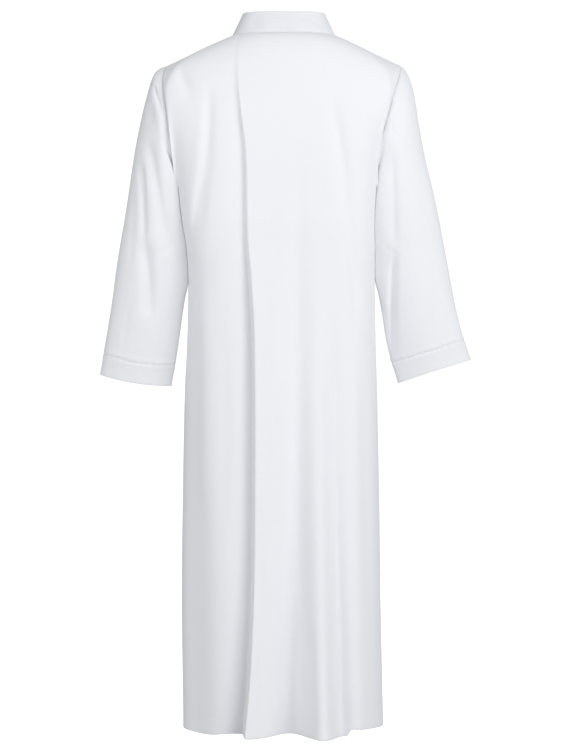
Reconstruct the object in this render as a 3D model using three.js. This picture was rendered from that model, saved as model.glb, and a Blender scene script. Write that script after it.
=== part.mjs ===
// Open-front abaya: a long robe of thin plain cloth, filled out as it is when worn. Each piece is a thin
// wall. Millimetres, +Z up. The wearer looks along -Y and the wearer's left is +X. The origin lies in the
// middle of the neck, level with the two points where the collar meets the shoulder seams.
import * as THREE from 'three';

// ---------------------------------------------------------------- driving sizes
const CLOTH = 1.4;            // thickness of every wall
const SEAM = 0.3;             // parting between two pieces along a seam
const NECK_ROUND = 2.5;       // exponent of the neckline's rounded rectangle, where 2 is an ellipse
const PLACE_ROUND = 3;        // exponent by which a panel's columns are spread across the body
const EDGE_POWER = 10;        // how near its edge a panel takes the armhole's form, and folds fade out
const EDGE_NARROWS = 50;      // how much nearer it is at the underarm
const ARMHOLE_REACH = 0.7;    // an armhole's half depth, as a share of the body's
const UNDERARM_SQUARE = 0.5;  // how full its edge is near the underarm, where 1 is an ellipse
const SLEEVE_SQUARE = 0.55;   // how square a sleeve's outer side is, where 1 is an ellipse
const SLEEVE_FULL = { top: 0.8, end: 0.62 };   // how far back its inner edge lies, as a share of its depth
const UNDERARM = -300;        // height of the underarm points
const HEM = -1342;            // height of the hem
const NECK = { half: 101.5, back: 60, front: 88, drop: 76, dropPower: 1.4 };
const SHOULDER = { x: 228, z: -57 };
const COLLAR = { height: 43, frontHeight: 36, leanSide: 21, leanBack: 9, leanFront: 10 };
const FRONT_GAP = { neck: 13, hem: 52 };   // half of the open front's width, at the neck and at the hem
const SLEEVE_CLEAR = 4.2;     // between a sleeve and the body that it hangs against
const CLEAR_FROM = 12;        // how far below the underarm that clearance is reached
const CUFF_DROOP = { left: 6, right: -1 };   // how far a sleeve's end sags between its two sides

// Half widths and depths of the body's rings, and the exponent of each side's rounded corner.
const BODY = [
  { z: -300, left: 208, right: 180, back: 120, front: 114, leftRound: 4.5, rightRound: 5 },
  { z: -363, left: 199, right: 176, back: 121, front: 114, leftRound: 4.5, rightRound: 5 },
  { z: -410, left: 190, right: 176, back: 119, front: 110, leftRound: 4.5, rightRound: 5 },
  { z: -480, left: 186, right: 176, back: 116, front: 106, leftRound: 3.8, rightRound: 4.5 },
  { z: -590, left: 188, right: 178, back: 114, front: 105, leftRound: 3.2, rightRound: 4 },
  { z: -690, left: 193, right: 181, back: 116, front: 108, leftRound: 2.8, rightRound: 3.6 },
  { z: -900, left: 197, right: 185, back: 121, front: 115, leftRound: 2.6, rightRound: 3.4 },
  { z: -1100, left: 199, right: 188, back: 125, front: 121, leftRound: 2.6, rightRound: 3.3 },
  { z: -1342, left: 196, right: 193, back: 127, front: 126, leftRound: 2.6, rightRound: 3.2 },
];

// How far the armhole edge lies from the middle, on each side.
const ARMHOLE = [
  { z: -57, left: 228, right: 228 },
  { z: -85, left: 233, right: 222 },
  { z: -115, left: 231, right: 212 },
  { z: -158, left: 225, right: 202 },
  { z: -200, left: 222, right: 192 },
  { z: -259, left: 217, right: 183 },
  { z: -300, left: 208, right: 180 },
];

// The back's overlapping fold: the cloth on its right stands proud of the cloth on its left by `step`.
const OVERLAP = [
  { z: -60, x: 92, step: 0 },
  { z: -95, x: 91, step: 2 },
  { z: -162, x: 84, step: 7 },
  { z: -230, x: 76, step: 9 },
  { z: -405, x: 72, step: 11 },
  { z: -470, x: 66, step: 17 },
  { z: -610, x: 59, step: 24 },
  { z: -1000, x: 59, step: 30 },
  { z: -1195, x: 65, step: 42 },
  { z: -1342, x: 77, step: 60 },
];
const OVERLAP_SHAPE = { wall: 6, lowShare: 0.45, lowReach: 24, proudReach: 60 };

// How far the back's hem dips below (negative) or lifts above HEM, from side to side.
const HEM_LINE = [
  { x: 196, dip: 0 },
  { x: 150, dip: -4 },
  { x: 100, dip: 0 },
  { x: 60, dip: -4 },
  { x: 0, dip: 0 },
  { x: -75, dip: -5 },
  { x: -112, dip: -3 },
  { x: -121, dip: -2 },
  { x: -128, dip: 9 },
  { x: -150, dip: 9 },
  { x: -193, dip: 7 },
];

// Soft folds. Each runs from height `top` to `low` through the three places x, with its rise (out is
// positive, in is negative) and its half width at both ends, and grows by the power `grow`.
const BACK_FOLDS = [
  { top: -150, low: HEM, x: [-27, -24, -14], rise: [-1.5, -37], wide: [14, 29], grow: 2.2 },
  { top: -330, low: HEM, x: [-62, -64, -76], rise: [1, 39], wide: [18, 35], grow: 2.2 },
  { top: -520, low: HEM, x: [-92, -100, -110], rise: [-3, -15], wide: [12, 15], grow: 1 },
  { top: -560, low: HEM, x: [-134, -140, -146], rise: [2, 10], wide: [15, 19], grow: 1.2 },
  { top: -520, low: HEM, x: [170, 169, 167], rise: [-6, -18], wide: [20, 32], grow: 1 },
  { top: -90, low: -430, x: [143, 149, 176], rise: [-5, -5], wide: [10, 12], grow: 1 },
  { top: -25, low: -150, x: [212, 196, 174], rise: [-6, -5], wide: [13, 14], grow: 1 },
  { top: -110, low: -600, x: [-88, -122, -140], rise: [-4.5, -3], wide: [12, 14], grow: 1 },
];
const LEFT_FRONT_FOLDS = [
  { top: -360, low: HEM, x: [112, 118, 128], rise: [2, 26], wide: [18, 26], grow: 1.5 },
  { top: -420, low: HEM, x: [84, 86, 88], rise: [-3, -24], wide: [14, 20], grow: 1.5 },
  { top: -70, low: -330, x: [138, 152, 176], rise: [-4, -4], wide: [12, 13], grow: 1 },
  { top: -120, low: -620, x: [64, 70, 62], rise: [-4, -5], wide: [12, 15], grow: 1 },
];
const RIGHT_FRONT_FOLDS = [
  { top: -300, low: HEM, x: [96, 104, 108], rise: [2, 30], wide: [17, 27], grow: 1.6 },
  { top: -460, low: HEM, x: [140, 142, 146], rise: [-3, -22], wide: [12, 18], grow: 1.4 },
  { top: -80, low: -340, x: [124, 134, 150], rise: [-4, -4], wide: [11, 12], grow: 1 },
  { top: -150, low: -560, x: [52, 58, 50], rise: [-3, -4], wide: [13, 15], grow: 1 },
];

// A sleeve's outer and inner edges seen from behind, its half depth and how far back its middle lies.
const LEFT_SLEEVE = [
  { at: 0.00, outX: 228, outZ: -57, inX: 208, inZ: -300, deep: 84, back: 0 },
  { at: 0.04, outX: 247, outZ: -66, inX: 211, inZ: -303, deep: 85, back: 0 },
  { at: 0.08, outX: 257, outZ: -84, inX: 208, inZ: -309, deep: 85, back: 0 },
  { at: 0.12, outX: 263, outZ: -104, inX: 202, inZ: -317, deep: 85, back: 0 },
  { at: 0.20, outX: 274, outZ: -148, inX: 194, inZ: -332, deep: 84, back: 0 },
  { at: 0.30, outX: 288, outZ: -215, inX: 187, inZ: -355, deep: 82, back: -1 },
  { at: 0.40, outX: 299, outZ: -285, inX: 181, inZ: -383, deep: 79, back: -2 },
  { at: 0.50, outX: 309, outZ: -350, inX: 178, inZ: -412, deep: 75, back: -4 },
  { at: 0.60, outX: 318, outZ: -400, inX: 182, inZ: -452, deep: 71, back: -6 },
  { at: 0.70, outX: 327, outZ: -455, inX: 189, inZ: -495, deep: 67, back: -9 },
  { at: 0.80, outX: 336, outZ: -520, inX: 197, inZ: -545, deep: 61, back: -13 },
  { at: 0.90, outX: 348, outZ: -590, inX: 206, inZ: -607, deep: 54, back: -18 },
  { at: 1.00, outX: 360, outZ: -658, inX: 219, inZ: -680, deep: 46, back: -24 },
];
const RIGHT_SLEEVE = [
  { at: 0.00, outX: 228, outZ: -57, inX: 180, inZ: -300, deep: 84, back: 0 },
  { at: 0.04, outX: 239, outZ: -70, inX: 183, inZ: -303, deep: 85, back: 0 },
  { at: 0.08, outX: 248, outZ: -91, inX: 180, inZ: -309, deep: 85, back: 0 },
  { at: 0.12, outX: 254, outZ: -118, inX: 176, inZ: -317, deep: 85, back: 0 },
  { at: 0.20, outX: 262, outZ: -170, inX: 170, inZ: -332, deep: 84, back: 0 },
  { at: 0.30, outX: 274, outZ: -236, inX: 166, inZ: -355, deep: 83, back: -1 },
  { at: 0.40, outX: 289, outZ: -297, inX: 164, inZ: -383, deep: 80, back: -2 },
  { at: 0.50, outX: 301, outZ: -352, inX: 165, inZ: -412, deep: 77, back: -4 },
  { at: 0.60, outX: 310, outZ: -398, inX: 171, inZ: -448, deep: 72, back: -6 },
  { at: 0.70, outX: 321, outZ: -455, inX: 180, inZ: -490, deep: 68, back: -9 },
  { at: 0.80, outX: 333, outZ: -518, inX: 190, inZ: -542, deep: 62, back: -13 },
  { at: 0.90, outX: 349, outZ: -580, inX: 201, inZ: -605, deep: 55, back: -18 },
  { at: 1.00, outX: 366, outZ: -629, inX: 222, inZ: -675, deep: 47, back: -24 },
];
const LEFT_SLEEVE_FOLDS = [
  { top: -190, low: -430, x: [262, 242, 224], rise: [-4, -4], wide: [10, 13], grow: 1 },
  { top: -240, low: -420, x: [279, 271, 270], rise: [-4, -4], wide: [6, 7], grow: 1 },
  { top: -390, low: -560, x: [268, 262, 262], rise: [-6, -6], wide: [12, 14], grow: 1 },
];
const RIGHT_SLEEVE_FOLDS = [
  { top: -220, low: -430, x: [208, 210, 212], rise: [-4, -4], wide: [11, 12], grow: 1 },
  { top: -410, low: -640, x: [213, 209, 212], rise: [-6, -5], wide: [8, 9], grow: 1 },
];

// Spans of the walls' grids. The overlapping fold's wall lies in one span of the back's columns.
const GRID = { upperRows: 11, lowerRows: 17, sleeveRows: 16, sleeveSpread: 1.25, collarRows: 3 };
const BACK_COLUMNS = { shoulder: 8, neck: 24, foldAfter: 13 };
const FRONT_COLUMNS = { shoulder: 6, neck: 12 };
// Shares of a piece's length over which one form passes into the next.
const PASS = { topSpacing: 0.4, foldsBelowTop: 0.33, foldStart: 0.2, foldEnd: 0.25, armholeIntoSleeve: 0.2 };
const CUFF_DROOP_POWER = 6;

// ---------------------------------------------------------------- small helpers
const lerp = THREE.MathUtils.lerp;
const smooth = (k) => THREE.MathUtils.smoothstep(k, 0, 1);
const signedPower = (value, power) => Math.sign(value) * Math.abs(value) ** power;

/** The smooth curve of one column through a table's rows, sorted by `key` and held past both ends. */
function curve(table, key, column) {
  const rows = [...table].sort((a, b) => a[key] - b[key]);
  const last = rows.length - 1;
  const slopeAt = (i) => {
    const low = rows[Math.max(i - 1, 0)];
    const high = rows[Math.min(i + 1, last)];
    return (high[column] - low[column]) / (high[key] - low[key]);
  };
  return (at) => {
    if (at <= rows[0][key]) return rows[0][column];
    if (at >= rows[last][key]) return rows[last][column];
    const i = rows.findIndex((row) => row[key] > at) - 1;
    const span = rows[i + 1][key] - rows[i][key];
    const k = (at - rows[i][key]) / span;
    const rise = rows[i + 1][column] - rows[i][column];
    const bend = (1 - k) * (slopeAt(i) * span - rise) + k * (rise - slopeAt(i + 1) * span);
    return rows[i][column] + k * rise + k * (1 - k) * bend;
  };
}

/** How far a set of soft folds lifts the cloth at place x and height z. */
function foldRise(folds, x, z) {
  let total = 0;
  for (const fold of folds) {
    const a = (fold.top - z) / (fold.top - fold.low);
    if (a <= 0 || a > 1) continue;
    const [high, middle, deep] = fold.x;
    const place = (1 - a) * (1 - 2 * a) * high + 4 * a * (1 - a) * middle + a * (2 * a - 1) * deep;
    const rise = lerp(fold.rise[0], fold.rise[1], a ** fold.grow);
    const runsOut = fold.low > HEM ? smooth((1 - a) / PASS.foldEnd) : 1;
    const wide = lerp(fold.wide[0], fold.wide[1], a);
    total += rise * smooth(a / PASS.foldStart) * runsOut * Math.exp(-(((x - place) / wide) ** 2));
  }
  return total;
}

// ---------------------------------------------------------------- the body's form
const bodyHalf = { left: curve(BODY, 'z', 'left'), right: curve(BODY, 'z', 'right') };
const bodyDepth = { back: curve(BODY, 'z', 'back'), front: curve(BODY, 'z', 'front') };
const bodyRound = { left: curve(BODY, 'z', 'leftRound'), right: curve(BODY, 'z', 'rightRound') };
const armholeHalf = { left: curve(ARMHOLE, 'z', 'left'), right: curve(ARMHOLE, 'z', 'right') };
const hemDip = curve(HEM_LINE, 'x', 'dip');
const overlapX = curve(OVERLAP, 'z', 'x');
const overlapStep = curve(OVERLAP, 'z', 'step');

const sideOf = (x) => (x < 0 ? 'right' : 'left');
const ringAngle = (share, power = PLACE_ROUND) =>
  Math.asin(signedPower(THREE.MathUtils.clamp(share, -1, 1), power / 2));
const ringShare = (angle, power = PLACE_ROUND) => signedPower(Math.sin(angle), 2 / power);
const roundDepth = (share, power) => Math.max(1 - Math.abs(share) ** power, 0) ** (1 / power);
const ringDepth = (share, z) => roundDepth(share, bodyRound[sideOf(share)](z));

/** The neckline: angle 0 is the back's middle, 90 degrees a shoulder seam and 180 the front's middle. */
function necklinePoint(angle) {
  const turn = Math.cos(angle);
  const depth = turn >= 0 ? NECK.back : NECK.front;
  return new THREE.Vector3(
    NECK.half * ringShare(angle, NECK_ROUND),
    depth * signedPower(turn, 2 / NECK_ROUND),
    turn >= 0 ? 0 : -NECK.drop * Math.abs(turn) ** NECK.dropPower,
  );
}

/** A point of a shoulder seam, from the armhole (k = 0) to the neck (k = 1), on the side of `sign`. */
const shoulderPoint = (k, sign) =>
  new THREE.Vector3(sign * lerp(SHOULDER.x, NECK.half, k), 0, lerp(SHOULDER.z, 0, k));

/** An armhole edge's depth as a share of the ring's, a share `drop` of the way down the edge. It is an
 *  ellipse in its upper half and fuller below. */
function armholeDepth(drop) {
  const round = 2 * Math.sqrt(Math.max(drop * (1 - drop), 0));
  return ARMHOLE_REACH * round ** lerp(1, UNDERARM_SQUARE, Math.max(2 * drop - 1, 0));
}

/** The point of the upper body below the top point `top`, a share t of the way round the armhole. Its depth
 *  grows like a round shoulder's, and at the armhole's edge it follows the armhole's own half ellipse. */
function upperPoint(top, ringPlace, t, face) {
  const turn = Math.sin((Math.PI / 2) * t);
  const drop = turn ** 2;
  const share = lerp(top.x / SHOULDER.x, ringPlace, smooth(t / PASS.topSpacing));
  const half = armholeHalf[sideOf(share)](lerp(SHOULDER.z, UNDERARM, drop));
  const out = Math.sin((Math.PI / 2) * turn);
  const edgeFlat = t > 0 ? armholeDepth(drop) / out : 0;
  const edgeShare = Math.abs(share) ** (EDGE_POWER + EDGE_NARROWS * drop ** 2);
  const flat = lerp(1 - smooth(drop), edgeFlat, edgeShare);
  const depth = bodyDepth[face](UNDERARM) * (face === 'back' ? 1 : -1);
  const ring = depth * (flat + (1 - flat) * ringDepth(share, UNDERARM));
  return new THREE.Vector3(half * share, lerp(top.y, ring, out), lerp(top.z, UNDERARM, drop));
}

/** The point of a body ring at height z, a share `place` of the way from the middle to its side. */
function ringPoint(place, z, face) {
  const depth = bodyDepth[face](z) * (face === 'back' ? 1 : -1);
  return new THREE.Vector3(bodyHalf[sideOf(place)](z) * place, depth * ringDepth(place, z), z);
}

/** Folds fade out towards the side seams and the shoulders. */
const foldShare = (place) => 1 - Math.abs(place) ** EDGE_POWER;

/** The overlapping fold's lift at place x: low on its left (+X) and proud on its right. */
function overlapRise(x, z) {
  const { wall, lowShare, lowReach, proudReach } = OVERLAP_SHAPE;
  const away = x - overlapX(z);
  const step = overlapStep(z);
  const past = Math.max(Math.abs(away) - wall / 2, 0);
  const low = -step * lowShare * Math.exp(-past / lowReach);
  const proud = step * (1 - lowShare) * Math.exp(-past / proudReach);
  return lerp(proud, low, THREE.MathUtils.clamp(away / wall + 0.5, 0, 1));
}

/** Rows of points from the top edge to the hem, one column for each of `spans` + 1 places across. */
function bodyGrid({ spans, topOf, placeOf, face, liftOf }) {
  const { upperRows, lowerRows } = GRID;
  const rows = [];
  for (let r = 0; r <= upperRows + lowerRows; r += 1) {
    const t = Math.min(r / upperRows, 1);
    const drop = Math.sin((Math.PI / 2) * t) ** 2;
    const v = Math.max(r - upperRows, 0) / lowerRows;
    const level = r < upperRows ? lerp(0, UNDERARM, drop) : lerp(UNDERARM, HEM, v);
    const row = [];
    for (let c = 0; c <= spans; c += 1) {
      const place = placeOf(c / spans, level);
      const point = v > 0 ? ringPoint(place, level, face) : upperPoint(topOf(c / spans), place, t, face);
      const lift = liftOf(point) * foldShare(place) * smooth(t / PASS.foldsBelowTop);
      point.y += face === 'back' ? lift : -lift;
      if (face === 'back') point.z += hemDip(point.x) * v ** 3;
      row.push(point);
    }
    rows.push(row);
  }
  return rows;
}

// ---------------------------------------------------------------- walls from grids
/** Unit normals of a grid of points, with its columns joined into a loop where `closed`. Points on the
 *  plane of the shoulder and side seams have their normals in it, so that both walls meet squarely. */
function gridNormals(rows, closed) {
  const last = rows.length - 1;
  return rows.map((row, r) => row.map((_, c) => {
    const n = row.length;
    const before = closed ? (c + n - 1) % n : Math.max(c - 1, 0);
    const after = closed ? (c + 1) % n : Math.min(c + 1, n - 1);
    const across = row[after].clone().sub(row[before]);
    const down = rows[Math.min(r + 1, last)][c].clone().sub(rows[Math.max(r - 1, 0)][c]);
    const normal = across.cross(down);
    if (!closed && Math.abs(row[c].y) < SEAM) normal.setY(0);
    return normal.normalize();
  }));
}

/** Outward directions square to a closed ring's edge that lie in the ring's own plane. */
function ringNormals(ring) {
  const middle = new THREE.Vector3();
  ring.forEach((point) => middle.addScaledVector(point, 1 / ring.length));
  return ring.map((point, c) => {
    const before = ring[(c + ring.length - 1) % ring.length];
    const along = ring[(c + 1) % ring.length].clone().sub(before).normalize();
    const out = point.clone().sub(middle);
    return out.addScaledVector(along, -out.dot(along)).normalize();
  });
}

/** A wall with its outer face on the grid and its inner face CLOTH behind it, as one closed body. A closed
 *  wall's first ring is cut off square to its own plane, where it is sewn in. */
function wallGeometry(rows, { closed = false, outward = 1 } = {}) {
  const normals = gridNormals(rows, closed);
  if (closed) normals[0] = ringNormals(rows[0]).map((normal) => normal.multiplyScalar(outward));
  const height = rows.length;
  const width = rows[0].length;
  const outer = rows.flat();
  const inner = rows.flatMap((row, r) =>
    row.map((point, c) => point.clone().addScaledVector(normals[r][c], -CLOTH * outward)));
  const positions = [...outer, ...inner].flatMap((point) => point.toArray());
  const depth = height * width;
  const triangles = [];
  const quad = (a, b, c, d) => triangles.push(a, b, c, a, c, d);
  const spans = closed ? width : width - 1;
  for (let r = 0; r < height - 1; r += 1) {
    for (let c = 0; c < spans; c += 1) {
      const here = r * width + c;
      const next = r * width + (c + 1) % width;
      quad(here, next, next + width, here + width);
      quad(depth + here, depth + here + width, depth + next + width, depth + next);
    }
  }
  for (let c = 0; c < spans; c += 1) {
    const next = (c + 1) % width;
    const foot = (height - 1) * width;
    quad(c, depth + c, depth + next, next);
    quad(foot + c, foot + next, depth + foot + next, depth + foot + c);
  }
  for (let r = 0; r < height - 1 && !closed; r += 1) {
    const left = r * width;
    const right = left + width - 1;
    quad(left, left + width, depth + left + width, depth + left);
    quad(right, depth + right, depth + right + width, right + width);
  }
  if (outward < 0) triangles.reverse();
  const geometry = new THREE.BufferGeometry();
  geometry.setAttribute('position', new THREE.Float32BufferAttribute(positions, 3));
  geometry.setIndex(triangles);
  geometry.computeVertexNormals();
  return geometry;
}

// ---------------------------------------------------------------- the pieces
/** The back: one panel between the two side seams, with the overlapping fold's wall in a span of its own. */
function backGeometry() {
  const { shoulder, neck, foldAfter } = BACK_COLUMNS;
  const spans = 2 * shoulder + neck;
  const seam = SEAM / 2;
  const topOf = (u) => {
    const c = u * spans;
    if (c < shoulder) return shoulderPoint(c / shoulder, 1);
    if (c > shoulder + neck) return shoulderPoint((spans - c) / shoulder, -1);
    return necklinePoint(Math.PI * (0.5 - (c - shoulder) / neck));
  };
  const placeOf = (u, z) => {
    const c = u * spans;
    const half = z < UNDERARM ? bodyHalf.left(z) : armholeHalf.left(Math.min(z, SHOULDER.z));
    const foldLeft = ringAngle((overlapX(z) + OVERLAP_SHAPE.wall / 2) / half);
    const foldRight = ringAngle((overlapX(z) - OVERLAP_SHAPE.wall / 2) / half);
    if (c <= foldAfter) return ringShare(lerp(Math.PI / 2, foldLeft, c / foldAfter));
    return ringShare(lerp(foldRight, -Math.PI / 2, (c - foldAfter - 1) / (spans - foldAfter - 1)));
  };
  const liftOf = ({ x, z }) => foldRise(BACK_FOLDS, x, z) + overlapRise(x, z);
  const rows = bodyGrid({ spans, topOf, placeOf, face: 'back', liftOf });
  rows.forEach((row) => row.forEach((point) => { point.y = Math.max(point.y, 0) + seam; }));
  return wallGeometry(rows, { outward: -1 });
}

/** A front: from its side seam to its plain front edge, which stands clear of the middle. */
function frontGeometry(sign, folds) {
  const { shoulder, neck } = FRONT_COLUMNS;
  const spans = shoulder + neck;
  const seam = SEAM / 2;
  const side = sign > 0 ? 'left' : 'right';
  const gapAt = (z) => lerp(FRONT_GAP.neck, FRONT_GAP.hem, THREE.MathUtils.clamp(z / HEM, 0, 1));
  const neckEnd = Math.PI - ringAngle(FRONT_GAP.neck / NECK.half, NECK_ROUND);
  const topOf = (u) => {
    const c = u * spans;
    if (c < shoulder) return shoulderPoint(c / shoulder, sign);
    const point = necklinePoint(lerp(Math.PI / 2, neckEnd, (c - shoulder) / neck));
    return point.setX(sign * Math.abs(point.x));
  };
  const placeOf = (u, z) => {
    const half = z < UNDERARM ? bodyHalf[side](z) : armholeHalf[side](Math.min(z, SHOULDER.z));
    return sign * ringShare(lerp(Math.PI / 2, ringAngle(gapAt(z) / half), u));
  };
  const liftOf = ({ x, z }) => foldRise(folds, Math.abs(x), z);
  const rows = bodyGrid({ spans, topOf, placeOf, face: 'front', liftOf });
  rows.forEach((row) => row.forEach((point) => { point.y = Math.min(point.y, 0) - seam; }));
  return wallGeometry(rows, { outward: sign });
}

/** A point of the armhole's edge: angle 0 is the shoulder, 180 degrees the underarm, the back between. */
function armholePoint(angle, side) {
  const drop = (1 - Math.cos(angle)) / 2;
  const z = lerp(SHOULDER.z, UNDERARM, drop);
  const face = Math.sin(angle) >= 0 ? 'back' : 'front';
  const reach = bodyDepth[face](UNDERARM) * Math.sign(Math.sin(angle));
  return new THREE.Vector3(armholeHalf[side](z), reach * armholeDepth(drop), z);
}

/** Moves a sleeve's point out to the body's side, so that the sleeve hangs just clear of it. */
function clearOfBody(point, side) {
  if (point.z > UNDERARM) return point;
  const face = point.y > 0 ? 'back' : 'front';
  const share = Math.min(Math.abs(point.y) / bodyDepth[face](point.z), 1);
  const depth = roundDepth(share, bodyRound[side](point.z));
  const wall = bodyHalf[side](point.z) * depth + SLEEVE_CLEAR;
  const start = smooth((UNDERARM - point.z) / CLEAR_FROM);
  return point.setX(Math.max(point.x, lerp(point.x, wall, start)));
}

/** A sleeve: rings from the armhole's edge, turning as they go down, to its turned-up end. */
function sleeveGeometry(table, folds, sign) {
  const side = sign > 0 ? 'left' : 'right';
  const at = Object.fromEntries(Object.keys(table[0]).map((column) => [column, curve(table, 'at', column)]));
  const around = 2 * GRID.upperRows;
  const loose = (k, angle) => {
    const up = (1 + Math.cos(angle)) / 2;
    const turn = Math.sin(angle);
    const full = lerp(SLEEVE_FULL.top, SLEEVE_FULL.end, k ** 2) * Math.max(-Math.cos(angle), 0);
    const square = lerp(1, SLEEVE_SQUARE, Math.max(Math.cos(angle), 0));
    const deep = full + (1 - full * Math.sign(turn)) * signedPower(turn, square);
    const droop = CUFF_DROOP[side] * k ** CUFF_DROOP_POWER * turn ** 2;
    return new THREE.Vector3(
      lerp(at.inX(k), at.outX(k), up),
      at.back(k) + at.deep(k) * deep,
      lerp(at.inZ(k), at.outZ(k), up) - droop,
    );
  };
  const ring = (k, angle) => {
    const point = loose(k, angle);
    const seamPull = armholePoint(angle, side).sub(loose(0, angle));
    point.addScaledVector(seamPull, 1 - smooth(k / PASS.armholeIntoSleeve));
    point.y += Math.sin(angle) * foldRise(folds, point.x, point.z);
    return k > 0 ? clearOfBody(point, side) : point;
  };
  const rows = [];
  for (let r = 0; r <= GRID.sleeveRows; r += 1) {
    const k = (r / GRID.sleeveRows) ** GRID.sleeveSpread;
    rows.push(Array.from({ length: around }, (_, c) => ring(k, (2 * Math.PI * c) / around)));
  }
  rows[0].forEach((point, c) => {
    const onward = rows[1][c].clone().sub(point).normalize();
    point.addScaledVector(onward, SEAM);
  });
  rows.forEach((row) => row.forEach((point) => point.setX(point.x * sign)));
  return wallGeometry(rows, { closed: true, outward: -sign });
}

/** The collar: a standing band along the neckline, leaning in, with its ends at the open front. */
function collarGeometry() {
  const end = Math.PI - ringAngle(FRONT_GAP.neck / NECK.half, NECK_ROUND);
  const spans = BACK_COLUMNS.neck + 2 * FRONT_COLUMNS.neck;
  const angleAt = (c) => {
    const past = c - FRONT_COLUMNS.neck;
    if (past < 0) return lerp(Math.PI / 2, end, -past / FRONT_COLUMNS.neck);
    if (past > BACK_COLUMNS.neck) {
      return -lerp(Math.PI / 2, end, (past - BACK_COLUMNS.neck) / FRONT_COLUMNS.neck);
    }
    return Math.PI * (0.5 - past / BACK_COLUMNS.neck);
  };
  const rows = [];
  for (let r = 0; r <= GRID.collarRows; r += 1) {
    const k = r / GRID.collarRows;
    rows.push(Array.from({ length: spans + 1 }, (_, c) => {
      const angle = angleAt(c);
      const base = necklinePoint(angle);
      const back = Math.max(Math.cos(angle), 0);
      const front = Math.max(-Math.cos(angle), 0);
      const lean = back * COLLAR.leanBack + front * COLLAR.leanFront;
      const height = lerp(COLLAR.height, COLLAR.frontHeight, front);
      const pull = new THREE.Vector3(-Math.sin(angle) * COLLAR.leanSide, -Math.cos(angle) * lean, height);
      return base.addScaledVector(pull, k).add(new THREE.Vector3(0, 0, SEAM));
    }));
  }
  return wallGeometry(rows, { outward: 1 });
}

// ---------------------------------------------------------------- the garment
const cloth = () => new THREE.MeshStandardMaterial({ color: 0xf3f3f6, roughness: 0.85, metalness: 0 });

/** One named piece of the garment. */
function piece(name, geometry) {
  const mesh = new THREE.Mesh(geometry, cloth());
  mesh.name = name;
  return mesh;
}

const abaya = new THREE.Group();
abaya.name = 'abaya';
abaya.add(
  piece('back', backGeometry()),
  piece('front_left', frontGeometry(1, LEFT_FRONT_FOLDS)),
  piece('front_right', frontGeometry(-1, RIGHT_FRONT_FOLDS)),
  piece('sleeve_left', sleeveGeometry(LEFT_SLEEVE, LEFT_SLEEVE_FOLDS, 1)),
  piece('sleeve_right', sleeveGeometry(RIGHT_SLEEVE, RIGHT_SLEEVE_FOLDS, -1)),
  piece('collar', collarGeometry()),
);

export default abaya;
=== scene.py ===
"""An open-front abaya of fine white cloth, filled out as it is when worn.

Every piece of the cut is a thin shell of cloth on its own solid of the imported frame, with its folds,
creases, seams and hems in its mesh. Tables and sizes are in millimetres, and meshes are in metres.
"""

import logging
import math
from dataclasses import dataclass, field
from enum import Enum

import bpy
import numpy as np
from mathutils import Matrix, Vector


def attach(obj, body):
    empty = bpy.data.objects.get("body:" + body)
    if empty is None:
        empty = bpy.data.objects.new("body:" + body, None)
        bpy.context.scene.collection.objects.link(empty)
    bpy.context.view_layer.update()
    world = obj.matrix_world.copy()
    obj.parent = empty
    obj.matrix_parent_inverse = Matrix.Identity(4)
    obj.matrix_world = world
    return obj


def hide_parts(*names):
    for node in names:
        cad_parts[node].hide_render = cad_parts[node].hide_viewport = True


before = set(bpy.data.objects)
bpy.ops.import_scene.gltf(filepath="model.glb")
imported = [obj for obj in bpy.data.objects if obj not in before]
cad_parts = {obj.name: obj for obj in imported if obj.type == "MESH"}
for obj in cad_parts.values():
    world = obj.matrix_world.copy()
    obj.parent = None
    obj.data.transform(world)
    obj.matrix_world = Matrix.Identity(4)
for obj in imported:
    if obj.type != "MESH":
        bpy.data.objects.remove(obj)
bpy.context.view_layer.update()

LOG = logging.getLogger("abaya")
Array = np.ndarray

MM = 0.001
BODY_NAME = "root"
UV_NAME = "cloth"
EDGE_SHADE_NAME = "edge"
TINY = 1e-9

SEAM = 0.3
STEP_WIDE = 2.0
RIM_ROUND = 0.6
NECK_ROUND = 2.5
PLACE_ROUND = 4.0
PLACE_DEPTH = 0.62
EDGE_POWER = 10
UNDERARM = -300.0
HEM = -1342.0
SHOULDER_X = 228.0
SHOULDER_Z = -57.0


class Side(Enum):
    """The wearer's left or right, as the sign of X."""

    LEFT = 1
    RIGHT = -1


class Face(Enum):
    """The back or front of the garment, as the sign of Y."""

    BACK = 1
    FRONT = -1


def mix(low: Array | float, high: Array | float, share: Array | float) -> Array | float:
    """The value a share of the way from low to high."""
    return low + (high - low) * share


def smooth(share: Array | float) -> Array:
    """A share clamped to 0..1 and eased at both ends: s * s * (3 - 2 s)."""
    s = np.clip(share, 0.0, 1.0)
    return s * s * (3.0 - 2.0 * s)


def stepped(inside: Array) -> Array:
    """From 0 to 1 over the width of a pressed step, by how far inside its edge a place lies."""
    return smooth(inside / STEP_WIDE + 0.5)


def signed_power(value: Array, power: Array | float) -> Array:
    """The power of the value's size, with the value's own sign."""
    return np.sign(value) * np.abs(value) ** power


def bell(distance: Array, width: Array | float) -> Array:
    """A soft bump: 1 at no distance, falling as exp(-(distance / width) squared)."""
    return np.exp(-((distance / width) ** 2))


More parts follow.
